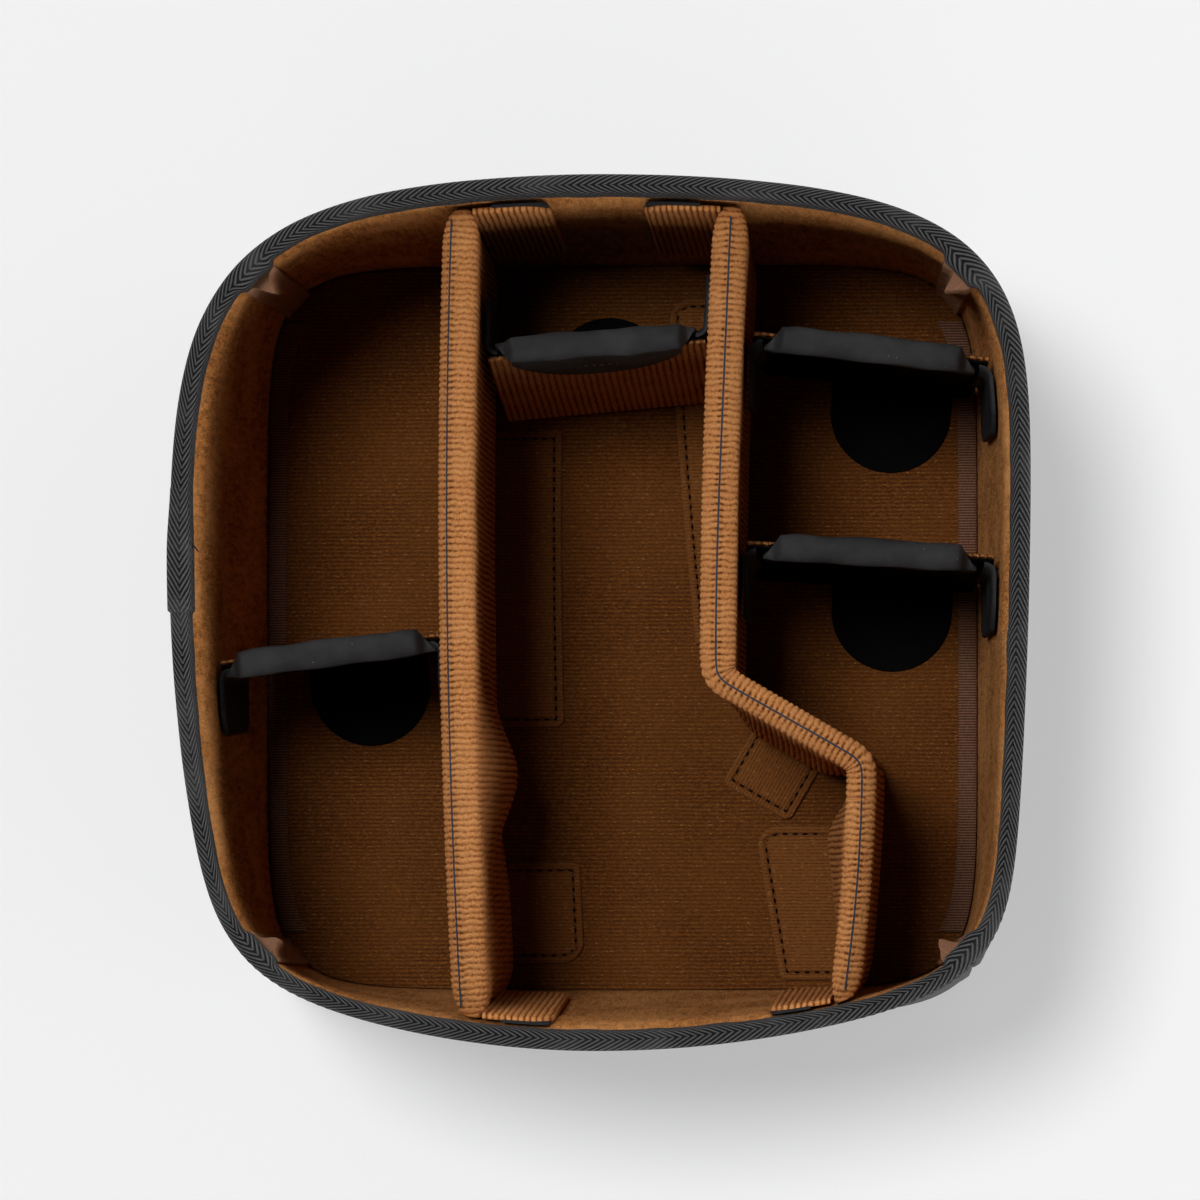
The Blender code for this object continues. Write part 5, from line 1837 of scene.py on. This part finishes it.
@dataclass
class SmallDivider:
    """A thin lift-out divider: ribbed cloth on one face, black cloth on the other, a puffed grip over
    its top edge, a folded flap at each side and a tongue on the floor."""

    name: str
    facing: int
    neighbours: tuple
    foot_y: tuple
    top_y: tuple
    foot: float
    tongue_share: float
    top: float = 0.104
    board: float = 0.0032
    face: float = 0.0006
    flap_clearance: float = 0.0012
    flap_thickness: float = 0.0015
    flap_radius: float = 0.0040
    flap_behind: float = 0.0036
    shoulder: float = 0.0045
    shoulder_slope: float = 0.0060
    crease: float = 0.0012
    cover_half: float = 0.0272
    cover_drop: float = 0.023
    cover_side_drop: float = 0.0045
    cover_back_drop: float = 0.010
    cover_thickness: float = 0.0012
    cover_swell: float = 0.0006
    cover_lean: float = 0.0026
    tongue_half: float = 0.0205
    tongue_thickness: float = 0.0008
    cloth_height: float = 0.0957
    stitched: bool = False
    rib_pitch: float = 0.00228

    def __post_init__(self) -> None:
        """Finds the four corners of the middle plane and its normal towards the black face."""
        beside = self.flap_clearance + self.flap_thickness / 2
        self.corners = np.array([(float(neighbour.at(y, height, beside)), y, height)
                                 for height, ends in ((self.foot, self.foot_y), (self.top, self.top_y))
                                 for neighbour, y in zip(self.neighbours, ends)])
        across = self.corners[1] - self.corners[0]
        up = (self.corners[2] + self.corners[3] - self.corners[0] - self.corners[1]) / 2
        normal = unit(np.cross(across, up))
        self.normal = normal if normal[1] * self.facing > 0 else -normal
        self.height = self.top - self.foot
        self.width = float(np.linalg.norm(self.spot(1.0, 0.5, 0.0) - self.spot(0.0, 0.5, 0.0)))

    def spot(self, across: Array, up: Array, proud: Array) -> Array:
        """Points of the panel: a mix of the corners, moved off the middle plane, which is creased at
        half its height.

        Args:
            across: Shares of the way across.
            up: Shares up the face.
            proud: Distances towards the black face.

        Returns:
            The points.
        """
        across, up, proud = (value[..., None] for value in np.broadcast_arrays(across, up, proud))
        low = mix(self.corners[0], self.corners[1], across)
        high = mix(self.corners[2], self.corners[3], across)
        return mix(low, high, up) + self.normal * (proud - self.crease * (1 - np.abs(2 * up - 1)))

    def top_share(self, across: Array) -> Array:
        """How far up the panel reaches: full under the cover, and lower at its shoulders."""
        lower = self.shoulder / self.height
        return 1 - lower * smooth((np.abs(across - 0.5) - self.cover_half / self.width) / 0.05)

    def sloped(self, across: Array, rise: Array) -> Array:
        """How far the black side falls back towards the ribbed one near the top of the shoulders, where
        the board is thinned to an edge.

        Args:
            across: Shares of the way across.
            rise: Shares up the face, up to its own top.

        Returns:
            The distance.
        """
        beyond = smooth((np.abs(across - 0.5) - self.cover_half / self.width) / 0.04)
        fall = np.clip((rise - 1) * self.height / self.shoulder_slope + 1, 0, 1)
        return (self.board - 0.0010) * beyond * fall

    def panel(self) -> None:
        """The board in ribbed cloth: its face carries upright ribs, and its edges are rounded."""
        across = np.linspace(0, 1, int(self.width / self.rib_pitch * 8))[None, :]
        rise = (1 - np.cos(np.linspace(0, math.pi, 60)))[:, None] / 2
        up = self.top_share(across) * rise
        wander = 0.00012 * waves(across * self.width / 0.012, up * 0.1 / 0.012, 61)
        ridge = ribbing(across * self.width + wander, self.rib_pitch)
        edge = np.minimum(np.minimum(across, 1 - across) * self.width,
                          np.minimum(rise, 1 - rise) * self.height)
        half = self.board / 2 * mix(0.25, 1, rounded(edge, 0.0014))
        swell = 0.0005 * arch(across) * arch(rise)
        front = self.spot(across, up, -half - 0.0004 * (ridge - 0.75) - swell)
        back = self.spot(across, up, half - self.sloped(across, rise))
        cloth = pair(across * self.width, up * self.cloth_height)
        # Painted shade: the ridge goes in as the tone, which darkens the knit's rib valleys.
        sewing = Sewing(self.name + "_board").sheet(front, back, cloth, ridge * 0.9)
        made = dress(sewing.make(KNIT, 180.0), self.name, [self.name + "_panel"])

    def black_face(self) -> None:
        """The black face: one smooth sheet with a slight slackness."""
        across = np.linspace(0, 1, 70)[None, :]
        rise = np.sin(np.linspace(0, math.pi / 2, 60))[:, None]
        up = self.top_share(across) * rise
        slack = 0.0003 * waves(across * 2.2, rise * 2.6, 71)
        slack = slack * arch(across) * arch(rise)
        base = self.board / 2 + 0.0003 - self.sloped(across, rise)
        front = self.spot(across, up, base + self.face + np.maximum(slack, -0.0001))
        cloth = pair(across * self.width, up * self.cloth_height)
        sewing = Sewing(self.name + "_face_cloth").sheet(front, self.spot(across, up, base), cloth)
        made = dress(sewing.make(SATIN), self.name, [self.name + "_black_face"])

    def cover(self) -> None:
        """The puffed grip: a rounded lobe down the ribbed face, over the top edge, and a short hem down
        the black face. It swells between its edges and is gathered at the corners of its lobe."""
        across = np.sin(np.linspace(-math.pi / 2, math.pi / 2, 65))[None, :]
        up = np.linspace(0, 1, 81)[:, None]
        lobe = np.maximum(0, 1 - np.abs(across) ** 2.4) ** 0.8
        drop = mix(self.cover_side_drop, self.cover_drop, lobe)
        quarter = 0.25
        turn = 2 * math.pi * (np.clip(up, quarter, 1 - quarter) - quarter)
        place = 0.5 + across * (self.cover_half + 0.0036 - self.cover_lean * np.cos(turn)) / self.width
        leg = self.top_share(place) + 0.0003 / self.height
        down = mix(leg - drop / self.height, leg, np.clip(up / quarter, 0, 1))
        behind = mix(leg, leg - self.cover_back_drop / self.height, np.clip(up / quarter - 3, 0, 1))
        share = np.where(up < quarter, down, np.where(up > 1 - quarter, behind, leg))
        rim = np.minimum(np.minimum(up, 1 - up) * 5, (1 - np.abs(across)) * 6)
        puff = smooth(rim) * (1 + 0.45 * waves(across * 1.6, up * 2.0, 81 + self.facing))
        faces = []
        for proud in (self.cover_thickness + self.cover_swell * puff, 0.0 * puff):
            points = self.spot(place, share, -(self.board / 2 + self.face + 0.0006 + proud) * np.cos(turn))
            points[..., 2] += (proud + 0.0003) * np.sin(turn)
            faces.append(points)
        cloth = pair(lengths(faces[0]), across * self.cover_half)
        sewing = Sewing(self.name + "_grip").sheet(*faces, cloth)
        made = dress(sewing.make(GRIP), self.name, [self.name + "_grip_cover"])

    def cover_stitches(self) -> None:
        """A line of short pale stitches across the lobe."""
        inner = self.board / 2 + self.face + 0.0006 + self.cover_thickness + self.cover_swell
        places = np.arange(-0.017, 0.0171, 0.0026)[:, None] + np.linspace(-0.0006, 0.0006, 4)[None, :]
        up = 1 - 0.0095 / self.height - 4.0 * np.square(places) / self.height
        centres = self.spot(0.5 + places / self.width, up, -(inner + 0.0001))
        side, away = (np.broadcast_to(way, centres.shape) for way in (UP, -self.normal))
        sewing = Sewing(self.name + "_grip_stitches")
        sewing.tubes(centres, side, away, np.array((0.00002, 0.00013, 0.00013, 0.00002)))
        dress(sewing.make(PALE_THREAD), self.name)

    def side_flap(self, number: int, word: str) -> None:
        """A side flap, folded back along its neighbour.

        Args:
            number: 0 at the left and 1 at the right.
            word: The side's name.
        """
        neighbour = self.neighbours[number]
        proud = self.board / 2 + self.face + 0.0004
        radius = self.flap_radius

        def place(along: Array, outward: Array, lift: Array) -> Array:
            """Up the fold, round the inside of the corner on a quarter circle, then along the
            neighbour, and off the surface.

            Args:
                along: Distances along the cloth.
                outward: Distances outwards from the fold.
                lift: Heights off the surface.

            Returns:
                The places.
            """
            up = (along - self.foot) / self.height
            back = self.sloped(float(number), up / self.top_share(float(number)))
            root = self.spot(float(number), up, proud - back)[..., 1]
            walked = outward + self.flap_behind
            turn = np.clip(walked / radius, 0, math.pi / 2)
            rest = np.maximum(walked - radius * math.pi / 2, 0)
            reach = radius - lift
            y = root + self.facing * (radius - reach * np.cos(turn) + rest)
            x = neighbour.at(y, along, self.flap_clearance)
            return np.stack([x - neighbour.side * (radius - reach * np.sin(turn)), y, along], axis=-1)

        node = f"{self.name}_{word}_flap"
        flap = Flap(node + "_cloth", 0.054, 0.0990, 0.0195, thickness=self.flap_thickness,
                    corner_low=0.006, corner_high=0.008, behind=self.flap_behind)
        made = flap.cloth(place, FLAP_FACE)
        spots = [place(np.array(0.076), np.array(reach), np.array(0.0007)) for reach in (-0.0010, 0.0022)]
        dress(made, "", [node], Hinge(self.name, node + "_body", *spots))

    def tongue(self) -> None:
        """The round-ended tongue on the floor in front of the black face."""
        across = unit(self.corners[1] - self.corners[0])
        forward = unit(self.normal * np.array((1.0, 1.0, 0.0)))
        root = self.spot(self.tongue_share, 0.0, self.board / 2 + self.face + 0.0013)

        def place(along: Array, outward: Array, lift: Array) -> Array:
            """Across the panel's foot, forwards over the floor, and up."""
            spread = root + along[..., None] * across + outward[..., None] * forward
            return np.stack([spread[..., 0], spread[..., 1], 0.0083 + lift], axis=-1)

        node = self.name + "_tongue"
        half = self.tongue_half
        flap = Flap(node + "_cloth", -half, half, 0.0275, thickness=self.tongue_thickness,
                    corner_low=half - 1e-5, corner_high=half - 1e-5, behind=0.0024)
        made = flap.cloth(place, SATIN)
        middle = np.array((root[0], root[1], 0.0087))
        dress(made, "", [node],
              Hinge(self.name, node + "_body", middle - forward * 0.0012, middle + forward * 0.0018))

    def build(self) -> None:
        """Makes every piece of the divider."""
        self.panel()
        self.black_face()
        self.cover()
        if self.stitched:
            self.cover_stitches()
        self.side_flap(0, "left")
        self.side_flap(1, "right")
        self.tongue()


def small_dividers() -> Sequence[SmallDivider]:
    """The four small dividers, each between its neighbours.

    Returns:
        The dividers.
    """
    left, right = left_run(), right_runs()[0]
    on_tape, on_tab = 0.0094, 0.0107
    left_wall, right_wall = Neighbour(-1), Neighbour(1)
    return (
        SmallDivider("centre_rear_divider", 1, (Neighbour(-1, left), Neighbour(1, right)),
                     (0.0716, 0.0780), (0.0871, 0.0927), on_tab, 0.5, stitched=True),
        SmallDivider("right_rear_divider", -1, (Neighbour(-1, right), right_wall),
                     (0.0888, 0.0800), (0.0924, 0.0834), on_tape, 0.63),
        SmallDivider("right_front_divider", -1, (Neighbour(-1, right), right_wall),
                     (0.0182, 0.0140), (0.0232, 0.0183), on_tape, 0.63),
        SmallDivider("left_front_divider", -1, (left_wall, Neighbour(1, left)),
                     (-0.0135, -0.0055), (-0.0166, -0.0075), on_tape, 0.5),
    )


# Studio


@dataclass
class Studio(Tree):
    """Pale floor, soft light from above, and the camera at the photograph's viewing angle."""

    key_strength: float = 2.10
    key_angle: float = 18.0
    key_from: tuple = (-0.23, 0.225, 1.0)
    ambient: float = 0.03
    horizon: float = 6.0
    horizon_top: float = 0.42
    horizon_lean: float = 0.35
    backdrop: float = 0.86
    floor_reach: float = 4.0
    floor_drop: float = 0.0002
    camera_place: tuple = (0.174, -0.108, 2.80)
    camera_aim: tuple = (0.001, 0.0037, 0.140)
    lens: float = 246.0
    sensor: float = 36.0
    clip_end: float = 50.0

    def floor(self) -> None:
        """A wide plane at the height that the insert stands on."""
        x, y = np.meshgrid(*[np.linspace(-self.floor_reach, self.floor_reach, 3)] * 2)
        sewing = Sewing("studio_floor").grid(np.stack([x, y, 0 * x - self.floor_drop], axis=-1))
        sewing.make(StudioFloor("studio_floor"))

    def world(self) -> None:
        """Surroundings that glow in a band above the horizon, as low lights all round do, more from
        the right than from the left, and are plain and pale to the camera."""
        world = bpy.data.worlds.new("surroundings")
        bpy.context.scene.world = world
        world.use_nodes = True
        self.tree = world.node_tree
        rays = self.add("LightPath", {}).outputs
        seen = self.math("MAXIMUM", rays["Is Camera Ray"], rays["Is Transmission Ray"])
        ends = {"Value": seen, "To Min": self.band(), "To Max": self.backdrop}
        strength = self.add("MapRange", ends).outputs[0]
        for name, value in (("Color", (1.0, 1.0, 1.0)), ("Strength", strength)):
            self.plug(value, self.tree.nodes["Background"].inputs[name])

    def band(self) -> bpy.types.NodeSocket:
        """Strength of the surroundings by direction: full at the horizon, eased to the ambient level
        at the band's top, and leaning with the direction's x.

        Returns:
            The strength's socket.
        """
        way = self.split(self.add("NewGeometry", {}).outputs["Incoming"])
        ends = {"Value": self.math("ABSOLUTE", way["Z"]), "From Max": self.horizon_top,
                "To Min": self.horizon, "To Max": self.ambient}
        fall = self.add("MapRange", ends, interpolation_type="SMOOTHSTEP").outputs[0]
        return self.times(fall, self.plus(way["X"], -self.horizon_lean, 1.0))

    def key(self) -> None:
        """A steep sun whose disc is wide enough for soft shadows."""
        light = bpy.data.lights.new("key", "SUN")
        light.energy = self.key_strength
        light.angle = math.radians(self.key_angle)
        made = bpy.data.objects.new("key", light)
        made.rotation_mode = "QUATERNION"
        made.rotation_quaternion = Vector(self.key_from).to_track_quat("Z", "Y")
        bpy.context.scene.collection.objects.link(made)

    def camera(self) -> None:
        """The camera, level and without shift."""
        data = bpy.data.cameras.new("camera")
        data.sensor_width = self.sensor
        data.lens = self.lens
        data.clip_end = self.clip_end
        made = bpy.data.objects.new("camera", data)
        made.location = self.camera_place
        back = (Vector(self.camera_place) - Vector(self.camera_aim)).normalized()
        right = Vector((0.0, 1.0, 0.0)).cross(back).normalized()
        made.rotation_mode = "QUATERNION"
        made.rotation_quaternion = Matrix((right, back.cross(right), back)).transposed().to_quaternion()
        bpy.context.scene.collection.objects.link(made)
        bpy.context.scene.camera = made

    def build(self) -> None:
        """Makes the studio and sets plain colour management."""
        self.camera()
        self.floor()
        self.world()
        self.key()
        bpy.context.scene.view_settings.view_transform = "Standard"


def main() -> None:
    """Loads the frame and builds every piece."""
    logging.basicConfig(level=logging.INFO, format="%(message)s")
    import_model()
    Studio().build()
    Tub().build()
    LeftDivider().build()
    RightDivider().build()
    for divider in small_dividers():
        divider.build()


if __name__ == "__main__":
    main()
